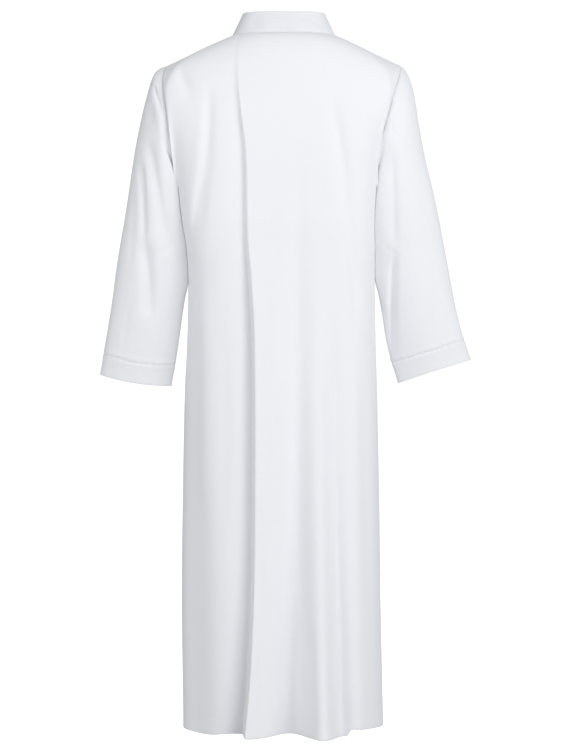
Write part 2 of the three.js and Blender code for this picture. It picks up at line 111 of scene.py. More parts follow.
def graded(count: int, near: tuple[float, ...], reach: float, boost: float) -> Array:
    """Shares from 0 to 1, closer together near chosen shares.

    The density is 1 plus boost times exp(-distance / reach) for each chosen share, and the shares lie
    at equal steps of its running sum.

    Args:
        count: Number of spans.
        near: Shares round which the spans are finer.
        reach: How far that fineness reaches.
        boost: How much finer they are.

    Returns:
        The count + 1 shares.
    """
    fine = np.linspace(0.0, 1.0, 4001)
    density = 1.0 + boost * sum(np.exp(-np.abs(fine - at) / reach) for at in near)
    total = np.concatenate(([0.0], np.cumsum((density[1:] + density[:-1]) / 2)))
    return np.interp(np.linspace(0.0, total[-1], count + 1), total, fine)


# ---------------------------------------------------------------- tables and folds
class Curve:
    """A smooth curve through one column of a table, held past both of its ends."""

    def __init__(self, keys: list[float], values: list[float]) -> None:
        """Sorts the rows by key and finds each one's slope from its neighbours."""
        order = np.argsort(keys)
        self.keys = np.asarray(keys, float)[order]
        self.values = np.asarray(values, float)[order]
        last = len(order) - 1
        low = np.maximum(np.arange(last + 1) - 1, 0)
        high = np.minimum(np.arange(last + 1) + 1, last)
        self.slopes = (self.values[high] - self.values[low]) / (self.keys[high] - self.keys[low])

    def __call__(self, at: Array | float) -> Array:
        """The value at a key: a cubic from row to row that takes up the slope of each."""
        at = np.clip(np.asarray(at, float), self.keys[0], self.keys[-1])
        i = np.clip(np.searchsorted(self.keys, at, side="right") - 1, 0, len(self.keys) - 2)
        span = self.keys[i + 1] - self.keys[i]
        k = (at - self.keys[i]) / span
        rise = self.values[i + 1] - self.values[i]
        bend = (1 - k) * (self.slopes[i] * span - rise) + k * (rise - self.slopes[i + 1] * span)
        return self.values[i] + k * rise + k * (1 - k) * bend


@dataclass(frozen=True)
class Table:
    """Rows of numbers under named columns."""

    columns: tuple[str, ...]
    rows: tuple[tuple[float, ...], ...]

    def curve(self, key: str, column: str) -> Curve:
        """The smooth curve of one column along another."""
        k, c = self.columns.index(key), self.columns.index(column)
        return Curve([row[k] for row in self.rows], [row[c] for row in self.rows])


@dataclass(frozen=True)
class Fold:
    """A broad soft fold that runs down the cloth, given by its place, rise and half width."""

    top: float
    low: float
    x: tuple[float, float, float]
    rise: tuple[float, float]
    wide: tuple[float, float]
    grow: float = 1.0
    starts_over: float = 0.2
    ends_over: float = 0.25

    def lift(self, x: Array, z: Array) -> Array:
        """How far the fold lifts the cloth.

        The share a of the way down gives the middle by a parabola through three places, the rise by
        a power of a, and the half width evenly. Across it the fold is a bell.

        Args:
            x: Places across.
            z: Heights.

        Returns:
            The lift at each place.
        """
        a = np.clip((self.top - z) / (self.top - self.low), 0.0, 1.0)
        high, middle, deep = self.x
        place = (1 - a) * (1 - 2 * a) * high + 4 * a * (1 - a) * middle + a * (2 * a - 1) * deep
        rise = mix(self.rise[0], self.rise[1], a**self.grow) * smooth(a / self.starts_over)
        if self.low > HEM:
            rise = rise * smooth((1 - a) / self.ends_over)
        return rise * bell(x - place, mix(self.wide[0], self.wide[1], a))


@dataclass(frozen=True)
class Crease:
    """A fine trough or ridge along a bent path over three points (across, height)."""

    start: tuple[float, float]
    middle: tuple[float, float]
    end: tuple[float, float]
    rise: float
    wide: float
    lean: float = 0.0
    steps: int = 20
    fade: float = 0.3

    def path(self) -> Array:
        """Points of the parabola that passes through the three points."""
        t = np.linspace(0.0, 1.0, self.steps + 1)[:, None]
        start, middle, end = (np.array(p, float) for p in (self.start, self.middle, self.end))
        return (1 - t) * (1 - 2 * t) * start + 4 * t * (1 - t) * middle + t * (2 * t - 1) * end

    def lift(self, across: Array, height: Array) -> Array:
        """How far the crease lifts the cloth.

        Each place is measured to the nearest stretch of the path. The lift is a bell of that
        distance, wider on one side where the crease leans, and it fades at both ends of the path.

        Args:
            across: Places across.
            height: Heights.

        Returns:
            The lift at each place, nought further than three widths away.
        """
        path = self.path()
        reach = 3.0 * self.wide * (1.0 + abs(self.lean))
        low, high = path.min(axis=0) - reach, path.max(axis=0) + reach
        near = (across > low[0]) & (across < high[0]) & (height > low[1]) & (height < high[1])
        lift = np.zeros(across.shape)
        if not near.any():
            return lift
        points = np.stack([across[near], height[near]], axis=-1)[:, None, :]
        runs = (path[1:] - path[:-1])[None]
        offset = points - path[None, :-1]
        share = np.clip((offset * runs).sum(-1) / (runs**2).sum(-1), 0.0, 1.0)
        miss = offset - share[..., None] * runs
        best = (miss**2).sum(-1).argmin(axis=1)[:, None]
        distance = np.sqrt(np.take_along_axis((miss**2).sum(-1), best, 1)[:, 0])
        turn = np.take_along_axis(runs[..., 0] * miss[..., 1] - runs[..., 1] * miss[..., 0], best, 1)[:, 0]
        along = (best[:, 0] + np.take_along_axis(share, best, 1)[:, 0]) / self.steps
        ends = smooth(along / self.fade) * smooth((1.0 - along) / self.fade)
        lift[near] = self.rise * ends * bell(distance, self.wide * (1.0 + self.lean * np.sign(turn)))
        return lift


def lift_all(marks: tuple[Fold | Crease, ...], x: Array, z: Array) -> Array:
    """The sum of what several folds and creases lift."""
    return sum((mark.lift(x, z) for mark in marks), np.zeros(np.broadcast(x, z).shape))


# ---------------------------------------------------------------- the body's form
BODY_RINGS = Table(
    ("z", "left", "right", "back", "front", "left_round", "right_round"),
    (
        (-300, 208, 180, 120, 114, 4.5, 5.0),
        (-363, 199, 176, 121, 114, 4.5, 5.0),
        (-410, 190, 176, 119, 110, 4.5, 5.0),
        (-480, 186, 176, 116, 106, 3.8, 4.5),
        (-590, 188, 178, 114, 105, 3.2, 4.0),
        (-690, 193, 181, 116, 108, 2.8, 3.6),
        (-900, 197, 185, 121, 115, 2.6, 3.4),
        (-1100, 199, 188, 125, 121, 2.6, 3.3),
        (-1342, 196, 193, 127, 126, 2.6, 3.2),
    ),
)
ARMHOLE_EDGE = Table(
    ("z", "left", "right"),
    (
        (-57, 228, 228),
        (-85, 233, 222),
        (-115, 231, 212),
        (-158, 225, 201),
        (-200, 220, 189),
        (-259, 213, 181),
        (-300, 208, 180),
    ),
)


def round_angle(share: Array, power: float) -> Array:
    """The angle of a place on a rounded rectangle: asin(share to half the power)."""
    return np.arcsin(signed_power(np.clip(share, -1.0, 1.0), power / 2))


def round_share(angle: Array, power: float) -> Array:
    """The share of a rounded rectangle's half width at an angle: sin(angle) to the power 2 / power."""
    return signed_power(np.sin(angle), 2 / power)


def round_depth(share: Array, power: Array) -> Array:
    """The share of a rounded rectangle's depth at a share of its half width."""
    return np.maximum(1.0 - np.abs(share) ** power, 0.0) ** (1 / power)


def even_places() -> tuple[Array, Array]:
    """Places across half a ring, and how far round from its middle each one lies.

    Returns:
        Shares of the half width, and shares of the arc that leads to each.
    """
    angle = np.linspace(0.0, math.pi / 2, 4001)
    across, deep = (part(angle) ** (2 / PLACE_ROUND) for part in (np.sin, np.cos))
    way = np.concatenate([[0.0], np.cumsum(np.hypot(np.diff(across), PLACE_DEPTH * np.diff(deep)))])
    return across, way / way[-1]


PLACES, WAYS = even_places()


def way_round(place: Array) -> Array:
    """How far round a ring a place lies, from -1 to 1."""
    return np.sign(place) * np.interp(np.abs(place), PLACES, WAYS)


def place_at(way: Array) -> Array:
    """The share of the half width at which a way round a ring ends."""
    return np.sign(way) * np.interp(np.abs(way), WAYS, PLACES)


@dataclass
class BodyForm:
    """The form that the cloth takes over a general figure: neckline, shoulders, armholes and rings."""

    neck_half: float = 101.5
    neck_depth: dict[Face, float] = field(default_factory=lambda: {Face.BACK: 60.0, Face.FRONT: 88.0})
    neck_drop: float = 76.0
    neck_drop_power: float = 1.4
    top_spacing: float = 0.4
    edge_narrows: float = 50.0
    armhole_reach: float = 0.7
    underarm_square: float = 0.45

    def __post_init__(self) -> None:
        """Makes the curves of the two tables."""
        names = {Side.LEFT: "left", Side.RIGHT: "right", Face.BACK: "back", Face.FRONT: "front"}
        self.ring_half = {side: BODY_RINGS.curve("z", names[side]) for side in Side}
        self.ring_reach = {face: BODY_RINGS.curve("z", names[face]) for face in Face}
        self.ring_round = {side: BODY_RINGS.curve("z", f"{names[side]}_round") for side in Side}
        self.edge_half = {side: ARMHOLE_EDGE.curve("z", names[side]) for side in Side}

    def half(self, side: Side, z: Array) -> Array:
        """The half width at a height: the armhole's edge above the underarm, the rings below."""
        return np.where(z < UNDERARM, self.ring_half[side](z), self.edge_half[side](z))

    def half_at(self, x: Array, z: Array) -> Array:
        """The half width at a height, on the side where x lies."""
        return np.where(x < 0, self.half(Side.RIGHT, z), self.half(Side.LEFT, z))

    def ring_depth(self, share: Array, z: Array) -> Array:
        """The share of a ring's depth at a share of its half width, by each side's own corner."""
        left, right = (self.ring_round[side](z) for side in Side)
        return round_depth(share, np.where(share < 0, right, left))

    def neckline(self, angle: Array) -> Array:
        """Points of the neckline: 0 is the back's middle, a quarter turn a shoulder seam.

        The plan is a rounded rectangle, deeper in front, where it also drops as a power of how far
        round the point is.
        """
        turn = np.cos(angle)
        depth = np.where(turn >= 0, self.neck_depth[Face.BACK], self.neck_depth[Face.FRONT])
        drop = np.where(turn >= 0, 0.0, -self.neck_drop * np.abs(turn) ** self.neck_drop_power)
        x = self.neck_half * round_share(angle, NECK_ROUND)
        return np.stack([x, depth * signed_power(turn, 2 / NECK_ROUND), drop], -1)

    def shoulder(self, share: Array, side: Side) -> Array:
        """Points of a shoulder seam, straight from the armhole (share 0) to the neck (share 1)."""
        x = side.value * mix(SHOULDER_X, self.neck_half, share)
        return np.stack([x, np.zeros_like(share), mix(SHOULDER_Z, 0.0, share)], -1)

    def upper(self, top: Array, place: Array, t: Array, face: Face) -> Array:
        """Points between the shoulders and the underarm.

        t is the share of the way round the armhole. The height drops as sin squared of a quarter turn
        times t, and the depth grows from the top point's to the ring's as a round shoulder's does. At
        the armhole's edge the depth follows half an ellipse instead.

        Args:
            top: The top point of each column.
            place: Share of the half width that each point has on the rings below.
            t: Share of the way round the armhole.
            face: Back or front.

        Returns:
            The points.
        """
        turn = np.sin(math.pi / 2 * t)
        drop = turn**2
        share = mix(top[..., 0] / SHOULDER_X, place, smooth(t / self.top_spacing))
        out = np.sin(math.pi / 2 * turn)
        edge_flat = self.armhole_depth(drop) / np.maximum(out, TINY)
        hold = np.abs(share) ** (EDGE_POWER + self.edge_narrows * drop**2)
        flat = mix(1.0 - smooth(drop), edge_flat, hold)
        depth = self.ring_reach[face](UNDERARM) * face.value
        ring = depth * (flat + (1.0 - flat) * self.ring_depth(share, UNDERARM))
        half = self.half_at(share, mix(SHOULDER_Z, UNDERARM, drop))
        height = mix(top[..., 2], UNDERARM, drop)
        return np.stack([half * share, mix(top[..., 1], ring, out), height], -1)

    def ring(self, place: Array, z: Array, face: Face) -> Array:
        """Points of the rings below the underarm, at a share of the half width."""
        depth = self.ring_reach[face](z) * face.value * self.ring_depth(place, z)
        return np.stack([self.half_at(place, z) * place, depth, np.broadcast_to(z, depth.shape)], -1)

    def armhole_depth(self, drop: Array) -> Array:
        """The share of the ring's depth on an armhole's edge, by how far down the edge it lies.

        It is an ellipse in the upper half. Below, it is fuller, as a power of the ellipse.
        """
        round_edge = 2 * np.sqrt(np.clip(drop * (1.0 - drop), 0.0, 0.25))
        power = mix(1.0, self.underarm_square, np.maximum(2 * drop - 1.0, 0.0))
        return self.armhole_reach * round_edge**power

    def armhole(self, angle: Array, side: Side) -> Array:
        """Points of the armhole's edge: 0 is the shoulder, half a turn the underarm."""
        drop = (1.0 - np.cos(angle)) / 2
        z = mix(SHOULDER_Z, UNDERARM, drop)
        back, front = (self.ring_reach[face](UNDERARM) for face in (Face.BACK, Face.FRONT))
        reach = np.sign(np.sin(angle)) * np.where(np.sin(angle) >= 0, back, front)
        return np.stack([self.edge_half[side](z), reach * self.armhole_depth(drop), z], -1)


# ---------------------------------------------------------------- cloth walls
@dataclass
class Cloth:
    """A wall of cloth: a grid of outer points, rows down and columns across, and its thickness."""

    outer: Array
    thick: Array
    closed: bool = False
    outward: int = 1

    def normals(self) -> Array:
        """Outward unit normals, from the steps between neighbouring points.

        Points on the plane of the shoulder and side seams have theirs in it, so that two walls meet
        squarely there.
        """
        grid = self.outer
        if self.closed:
            across = np.roll(grid, -1, axis=1) - np.roll(grid, 1, axis=1)
        else:
            padded = np.concatenate([grid[:, :1], grid, grid[:, -1:]], axis=1)
            across = padded[:, 2:] - padded[:, :-2]
        padded = np.concatenate([grid[:1], grid, grid[-1:]], axis=0)
        down = padded[2:] - padded[:-2]
        normal = np.cross(across, down) * self.outward
        if not self.closed:
            normal[..., 1] = np.where(np.abs(grid[..., 1]) < SEAM, 0.0, normal[..., 1])
        length = np.linalg.norm(normal, axis=-1, keepdims=True)
        return normal / np.maximum(length, TINY)

    def raised(self, lift: Array) -> "Cloth":
        """The same cloth with its points moved out along their normals."""
        return Cloth(self.outer + self.normals() * lift[..., None], self.thick, self.closed, self.outward)

    def down(self) -> Array:
        """How far each point lies below the top edge, along the cloth."""
        steps = np.linalg.norm(np.diff(self.outer, axis=0), axis=-1)
        return np.concatenate([np.zeros((1, self.outer.shape[1])), np.cumsum(steps, axis=0)])

    def across(self) -> Array:
        """How far each point lies from the first column, along the cloth."""
        steps = np.linalg.norm(np.diff(self.outer, axis=1), axis=-1)
        return np.concatenate([np.zeros((self.outer.shape[0], 1)), np.cumsum(steps, axis=1)], axis=1)

    def mesh(self, name: str, edge: Array) -> bpy.types.Mesh:
        """The closed mesh of the wall.

        Its loop of rows runs down the outer face, round the lower rim, up the inner face and round
        the upper rim, where one row in the middle rounds each rim. An open panel's sides are closed
        from face to face.

        Args:
            name: Name of the mesh.
            edge: How near each point is to a seam or hem, from 0 to 1, where the cloth's painted shade lies.

        Returns:
            The mesh, with a UV map in metres along the cloth and the nearness as an attribute.
        """
        outer, normals = self.outer, self.normals()
        inner = outer - normals * self.thick[..., None]
        rims = [self._rim(outer, inner, end) for end in (-1, 0)]
        loop = np.concatenate([outer, rims[0][None], inner[::-1], rims[1][None]])
        flat = np.stack([self.across(), self.down()], axis=-1) * MM
        if self.closed:
            last = np.linalg.norm(outer[:, 0] - outer[:, -1], axis=-1) * MM
            extra = np.stack([flat[:, -1, 0] + last, flat[:, -1, 1]], axis=-1)[:, None]
            flat = np.concatenate([flat, extra], axis=1)
        flat_loop = np.concatenate([flat, flat[-1:], flat[::-1], flat[:1]])
        edge_loop = np.concatenate([edge, edge[-1:], edge[::-1], edge[:1]])
        rows, columns = loop.shape[:2]
        r = np.arange(rows)[:, None]
        c = np.arange(columns if self.closed else columns - 1)[None]
        after, beside = (r + 1) % rows, (c + 1) % columns
        corners = ((r, c), (r, beside), (after, beside), (after, c))
        quads = np.stack([np.broadcast_to(i * columns + j, (rows, c.size)) for i, j in corners], -1)
        uv_corners = ((r, c), (r, c + 1), (after, c + 1), (after, c))
        uvs = np.stack([flat_loop[np.broadcast_to(i, (rows, c.size)), j] for i, j in uv_corners], -2)
        quads, uvs = quads.reshape(-1, 4), uvs.reshape(-1, 4, 2)
        if not self.closed:
            ends = [self._end_faces(loop, flat_loop, column) for column in (0, columns - 1)]
            quads = np.concatenate([quads, *(faces for faces, _ in ends)])
            uvs = np.concatenate([uvs, *(places for _, places in ends)])
        points = loop.reshape(-1, 3) * MM
        return make_mesh(name, points, quads, uvs, edge_loop.reshape(-1))

    def _rim(self, outer: Array, inner: Array, end: int) -> Array:
        """The middle row of a rim: midway between the faces, pushed out by a share of half the thickness."""
        beside = outer[-2] if end else outer[1]
        on = outer[end] - beside
        on = on / np.maximum(np.linalg.norm(on, axis=-1, keepdims=True), TINY)
        return (outer[end] + inner[end]) / 2 + on * (self.thick[end][:, None] / 2 * RIM_ROUND)

    @staticmethod
    def _end_faces(loop: Array, flat_loop: Array, column: int) -> tuple[Array, Array]:
        """The faces that close a side of an open panel, from the outer face to the inner one.

        Rows are paired from the two rims inwards. Each half of the rim's fan is a quad with two
        corners that coincide, which make_mesh turns into a triangle.
        """
        rows, columns = loop.shape[:2]
        height = (rows - 2) // 2
        out = np.arange(height - 1)
        back = 2 * height - out
        quads = np.stack([out, back, back - 1, out + 1], -1)
        fans = np.array([[0, rows - 1, 2 * height, 2 * height], [height - 1, height + 1, height, height]])
        picked = np.concatenate([quads, fans])
        if column == 0:
            picked = picked[:, ::-1]
        return picked * columns + column, flat_loop[picked, column]


def make_mesh(name: str, points: Array, quads: Array, uvs: Array, edge: Array) -> bpy.types.Mesh:
    """A smooth mesh from arrays, with its faces turned outwards.

    The signed volume is the sum of (a x b) . c / 6 over the triangles of every face. Where it comes
    out below nought, every face is turned round.

    Args:
        name: Name of the mesh.
        points: Points in metres.
        quads: Four point numbers a face. A number that follows itself makes a triangle.
        uvs: Four UV places a face.
        edge: Nearness to a seam or hem at each point, where painted shade lies.

    Returns:
        The mesh.
    """
    a, b, c, d = (points[quads[:, i]] for i in range(4))
    volume = (np.cross(a, b) * c).sum() + (np.cross(a, c) * d).sum()
    if volume < 0:
        quads, uvs = quads[:, ::-1], uvs[:, ::-1]
    keep = quads != np.roll(quads, 1, axis=1)
    sizes = keep.sum(axis=1)
    mesh = bpy.data.meshes.new(name)
    mesh.vertices.add(len(points))
    mesh.vertices.foreach_set("co", points.astype(np.float32).ravel())
    mesh.loops.add(int(sizes.sum()))
    mesh.loops.foreach_set("vertex_index", quads[keep].astype(np.int32))
    mesh.polygons.add(len(quads))
    starts = np.concatenate([[0], np.cumsum(sizes)[:-1]])
    mesh.polygons.foreach_set("loop_start", starts.astype(np.int32))
    mesh.polygons.foreach_set("use_smooth", np.ones(len(quads), bool))
    mesh.update(calc_edges=True)
    layer = mesh.uv_layers.new(name=UV_NAME)
    layer.data.foreach_set("uv", uvs[keep].astype(np.float32).ravel())
    near = mesh.attributes.new(EDGE_SHADE_NAME, "FLOAT", "POINT")
    near.data.foreach_set("value", edge.astype(np.float32))
    mesh.validate()
    return mesh


@dataclass(frozen=True)
class SeamForm:
    """How cloth lies next to a seam or a turned edge."""

    dip: float = 0.35
    dip_wide: float = 1.8
    allowance: float = 12.0
    allowance_thick: float = 0.5

    def roll(self, distance: Array) -> Array:
        """The cloth rolls in towards its seam: a bell of the distance."""
        return -self.dip * bell(distance, self.dip_wide)

    def backing(self, distance: Array) -> Array:
        """Extra thickness inside, where the allowance is pressed back."""
        return self.allowance_thick * stepped(self.allowance - distance)


@dataclass(frozen=True)
class Bump:
    """A soft swelling or groove along an edge: its rise, its distance from the edge and its width."""

    rise: float
    place: float
    wide: float

    def lift(self, distance: Array) -> Array:
        """How far it lifts the cloth at a distance from the edge."""
        return self.rise * bell(distance - self.place, self.wide)


# Each wave is (rise, length of one radian, start in radians).
PUCKER_WAVES = ((1.0, 1.9, 0.0), (0.8, 3.1, 1.3), (0.6, 7.3, 0.4))
STITCH_WAVES = ((0.7, 23.0, 0.0), (0.4, 9.0, 1.0))


def wander(along: Array, waves: tuple[tuple[float, float, float], ...]) -> Array:
    """The sum of a few sine waves of unlike length."""
    return sum(rise * np.sin(along / length + start) for rise, length, start in waves)


@dataclass(frozen=True)
class Pucker:
    """Small uneven ripples square to a line of stitches, which fade away from it as a bell."""

    rise: float
    reach: float

    def lift(self, along: Array, distance: Array) -> Array:
        """How far the ripples lift the cloth, by the way along the line and the distance from it."""
        tallest = sum(rise for rise, _, _ in PUCKER_WAVES)
        return self.rise * wander(along, PUCKER_WAVES) / tallest * bell(distance, self.reach)


def finish_object(name: str, mesh: bpy.types.Mesh, material: bpy.types.Material) -> bpy.types.Object:
    """An object of the scene that rides on the body and takes the cloth's slot."""
    piece = bpy.data.objects.new(name, mesh)
    bpy.context.scene.collection.objects.link(piece)
    mesh.materials.append(material)
    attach(piece, BODY_NAME)
    return piece


# ---------------------------------------------------------------- finishes
class Number:
    """A number inside a material. Its operators add Math nodes."""

    def __init__(self, shader: "Shader", socket: bpy.types.NodeSocket) -> None:
        """Wraps a socket of one shader."""
        self.shader = shader
        self.socket = socket

    def _math(self, operation: str, *values: "Number | float") -> "Number":
        """One Math node over values."""
        inputs = dict(enumerate(values))
        return self.shader.number("ShaderNodeMath", {"operation": operation}, inputs)

    def __add__(self, other: "Number | float") -> "Number":
        """Sum."""
        return self._math("ADD", self, other)

    __radd__ = __add__

    def __sub__(self, other: "Number | float") -> "Number":
        """Difference."""
        return self._math("SUBTRACT", self, other)

    def __rsub__(self, other: "Number | float") -> "Number":
        """Difference from a plain number."""
        return self._math("SUBTRACT", other, self)

    def __mul__(self, other: "Number | float") -> "Number":
        """Product."""
        return self._math("MULTIPLY", self, other)

    __rmul__ = __mul__

    def __truediv__(self, other: "Number | float") -> "Number":
        """Quotient."""
        return self._math("DIVIDE", self, other)

    def sine(self) -> "Number":
        """Sine of an angle in radians."""
        return self._math("SINE", self)


MIX_COLOUR_A, MIX_COLOUR_B, MIX_COLOUR_OUT = 6, 7, 2


class Shader:
    """A material and the nodes that make it."""

    def __init__(self, name: str) -> None:
        """Starts an empty material."""
        self.material = bpy.data.materials.new(name)
        self.material.use_nodes = True
        self.tree = self.material.node_tree
        self.tree.nodes.clear()

    def node(
        self, kind: str, settings: dict[str, object] | None = None, inputs: dict | None = None
    ) -> bpy.types.Node:
        """Adds a node.

        Args:
            kind: Type of the node.
            settings: Its settings, which are set first.
            inputs: Values, sockets or numbers for its sockets, by name or place.

        Returns:
            The node.
        """
        made = self.tree.nodes.new(kind)
        for key, value in (settings or {}).items():
            setattr(made, key, value)
        for key, value in (inputs or {}).items():
            if isinstance(value, Number):
                value = value.socket
            if isinstance(value, bpy.types.NodeSocket):
                self.tree.links.new(value, made.inputs[key])
            else:
                made.inputs[key].default_value = value
        return made

    def number(self, kind: str, settings: dict | None = None, inputs: dict | None = None) -> Number:
        """Adds a node and wraps its first output."""
        return Number(self, self.node(kind, settings, inputs).outputs[0])

    def blend(self, share: Number, low: object, high: object) -> bpy.types.NodeSocket:
        """Mixes two colours by a share."""
        inputs = {0: share, MIX_COLOUR_A: low, MIX_COLOUR_B: high}
        return self.node("ShaderNodeMix", {"data_type": "RGBA"}, inputs).outputs[MIX_COLOUR_OUT]

    def bump(self, strength: float, depth: float, height: Number, **under: object) -> bpy.types.NodeSocket:
        """Turns a height of so many millimetres into a normal, on top of another where one is given."""
        inputs = {"Strength": strength, "Distance": depth * MM, "Height": height, **under}
        return self.node("ShaderNodeBump", inputs=inputs).outputs["Normal"]

    def surfaced(self, inputs: dict) -> bpy.types.Material:
        """Ends the material with its surface and hands it over."""
        surface = self.node("ShaderNodeBsdfPrincipled", inputs=inputs).outputs["BSDF"]
        self.node("ShaderNodeOutputMaterial", inputs={"Surface": surface})
        return self.material


@dataclass(frozen=True)
class ClothFinish:
    """Fine plain-woven white cloth: its colours, thread spacing in millimetres and surface."""

    name: str = "white_plain_weave"
    colour: tuple[float, float, float, float] = (0.865, 0.865, 0.88, 1.0)
    thin_colour: tuple[float, float, float, float] = (0.835, 0.837, 0.858, 1.0)
    # The edge colour is painted shade along seams, hems, stitch lines and turned edges.
    edge_shade_colour: tuple[float, float, float, float] = (0.80, 0.80, 0.82, 1.0)
    thread: float = 0.42
    weave_depth: float = 0.05
    slub_scale: tuple[float, float, float] = (2600.0, 60.0, 1.0)
    crumple_scale: float = 42.0
    crumple_depth: float = 0.35
    roughness: float = 0.84
    sheen: float = 0.22
    sheen_roughness: float = 0.45
    edge_shade_share: float = 0.35
    crumple_strength: float = 0.5
    weave_strength: float = 0.6
    weave_share: float = 0.5
    slub_share: float = 1.5
    specular: float = 0.25

    def material(self) -> bpy.types.Material:
        """Builds the material.

        The weave's height is the product of two sines, one along each set of threads. Noise drawn out
        along the threads makes thick and thin places, and a broad noise makes the cloth uneven.
        Near seams, hems and stitch lines the colour darkens: painted shade.

        Returns:
            The material.
        """
        shader = Shader(self.name)
        uv = shader.node("ShaderNodeUVMap", {"uv_map": UV_NAME}).outputs["UV"]
        parts = shader.node("ShaderNodeSeparateXYZ", inputs={"Vector": uv})
        u, v = (Number(shader, parts.outputs[axis]) for axis in ("X", "Y"))
        turn = math.pi / (self.thread * MM)
        weave = (u * turn).sine() * (v * turn).sine()
        streaks = [
            shader.number(
                "ShaderNodeTexNoise",
                {"noise_dimensions": "2D"},
                {
                    "Vector": shader.node(
                        "ShaderNodeVectorMath", {"operation": "MULTIPLY"}, {0: uv, 1: scale}
                    ).outputs[0],
                    "Scale": 1.0,
                    "Detail": 2.0,
                },
            )
            for scale in (self.slub_scale, (self.slub_scale[1], self.slub_scale[0], 1.0))
        ]
        slub = (streaks[0] + streaks[1]) * 0.5
        place = shader.node("ShaderNodeTexCoord").outputs["Object"]
        crumple = shader.number(
            "ShaderNodeTexNoise", inputs={"Vector": place, "Scale": self.crumple_scale, "Detail": 3.0}
        )
        edge = shader.number("ShaderNodeAttribute", {"attribute_name": EDGE_SHADE_NAME})
        edge = Number(shader, edge.socket.node.outputs["Fac"])
        tone = slub * 0.6 + crumple * 0.4
        ground = shader.blend(tone, self.thin_colour, self.colour)
        # Darker towards seams, hems and stitch lines: painted shade in their grooves and at turned edges.
        colour = shader.blend(edge * self.edge_shade_share, ground, self.edge_shade_colour)
        broad = shader.bump(self.crumple_strength, self.crumple_depth, crumple)
        height = weave * self.weave_share + slub * self.slub_share
        return shader.surfaced(
            {
                "Base Color": colour,
                "Roughness": slub * 0.1 + (self.roughness - 0.05),
                "Normal": shader.bump(self.weave_strength, self.weave_depth, height, Normal=broad),
                "Sheen Weight": self.sheen,
                "Sheen Roughness": self.sheen_roughness,
                "Specular IOR Level": self.specular,
            }
        )


@dataclass(frozen=True)
class ThreadFinish:
    """White sewing thread with its twist, in millimetres."""

    name: str = "white_sewing_thread"
    colour: tuple[float, float, float, float] = (0.86, 0.86, 0.87, 1.0)
    shade: tuple[float, float, float, float] = (0.74, 0.74, 0.76, 1.0)
    twist: float = 0.5
    twist_strength: float = 0.5
    twist_depth: float = 0.05
    roughness: float = 0.5

    def material(self) -> bpy.types.Material:
        """Builds the material: slanting waves along Object coordinates for the thread's twist, darker in its
        grooves as painted shade.
        """
        shader = Shader(self.name)
        place = shader.node("ShaderNodeTexCoord").outputs["Object"]
        parts = shader.node("ShaderNodeSeparateXYZ", inputs={"Vector": place})
        x, y, z = (Number(shader, parts.outputs[axis]) for axis in ("X", "Y", "Z"))
        wave = ((x + y * 0.8 + z * 1.3) * (2 * math.pi / (self.twist * MM))).sine() * 0.5 + 0.5
        return shader.surfaced(
            {
                # The shade colour is painted shade in the twist's grooves.
                "Base Color": shader.blend(wave, self.shade, self.colour),
                "Roughness": self.roughness,
                "Normal": shader.bump(self.twist_strength, self.twist_depth, wave),
            }
        )


@dataclass(frozen=True)
class FloorFinish:
    """The plain pale paper of the floor and backdrop."""

    name: str = "pale_floor"
    colour: tuple[float, float, float, float] = (0.93, 0.93, 0.93, 1.0)
    glow: float = 0.75

    def material(self) -> bpy.types.Material:
        """Builds the material: matt paper with a faint grain and a little light of its own."""
        shader = Shader(self.name)
        place = shader.node("ShaderNodeTexCoord").outputs["Object"]
        grain = shader.number("ShaderNodeTexNoise", inputs={"Vector": place, "Scale": 90.0, "Detail": 2.0})
        return shader.surfaced(
            {
                "Base Color": self.colour,
                "Roughness": grain * 0.1 + 0.85,
                "Emission Color": (1.0, 1.0, 1.0, 1.0),
                "Emission Strength": self.glow,
                "Specular IOR Level": 0.1,
            }
        )


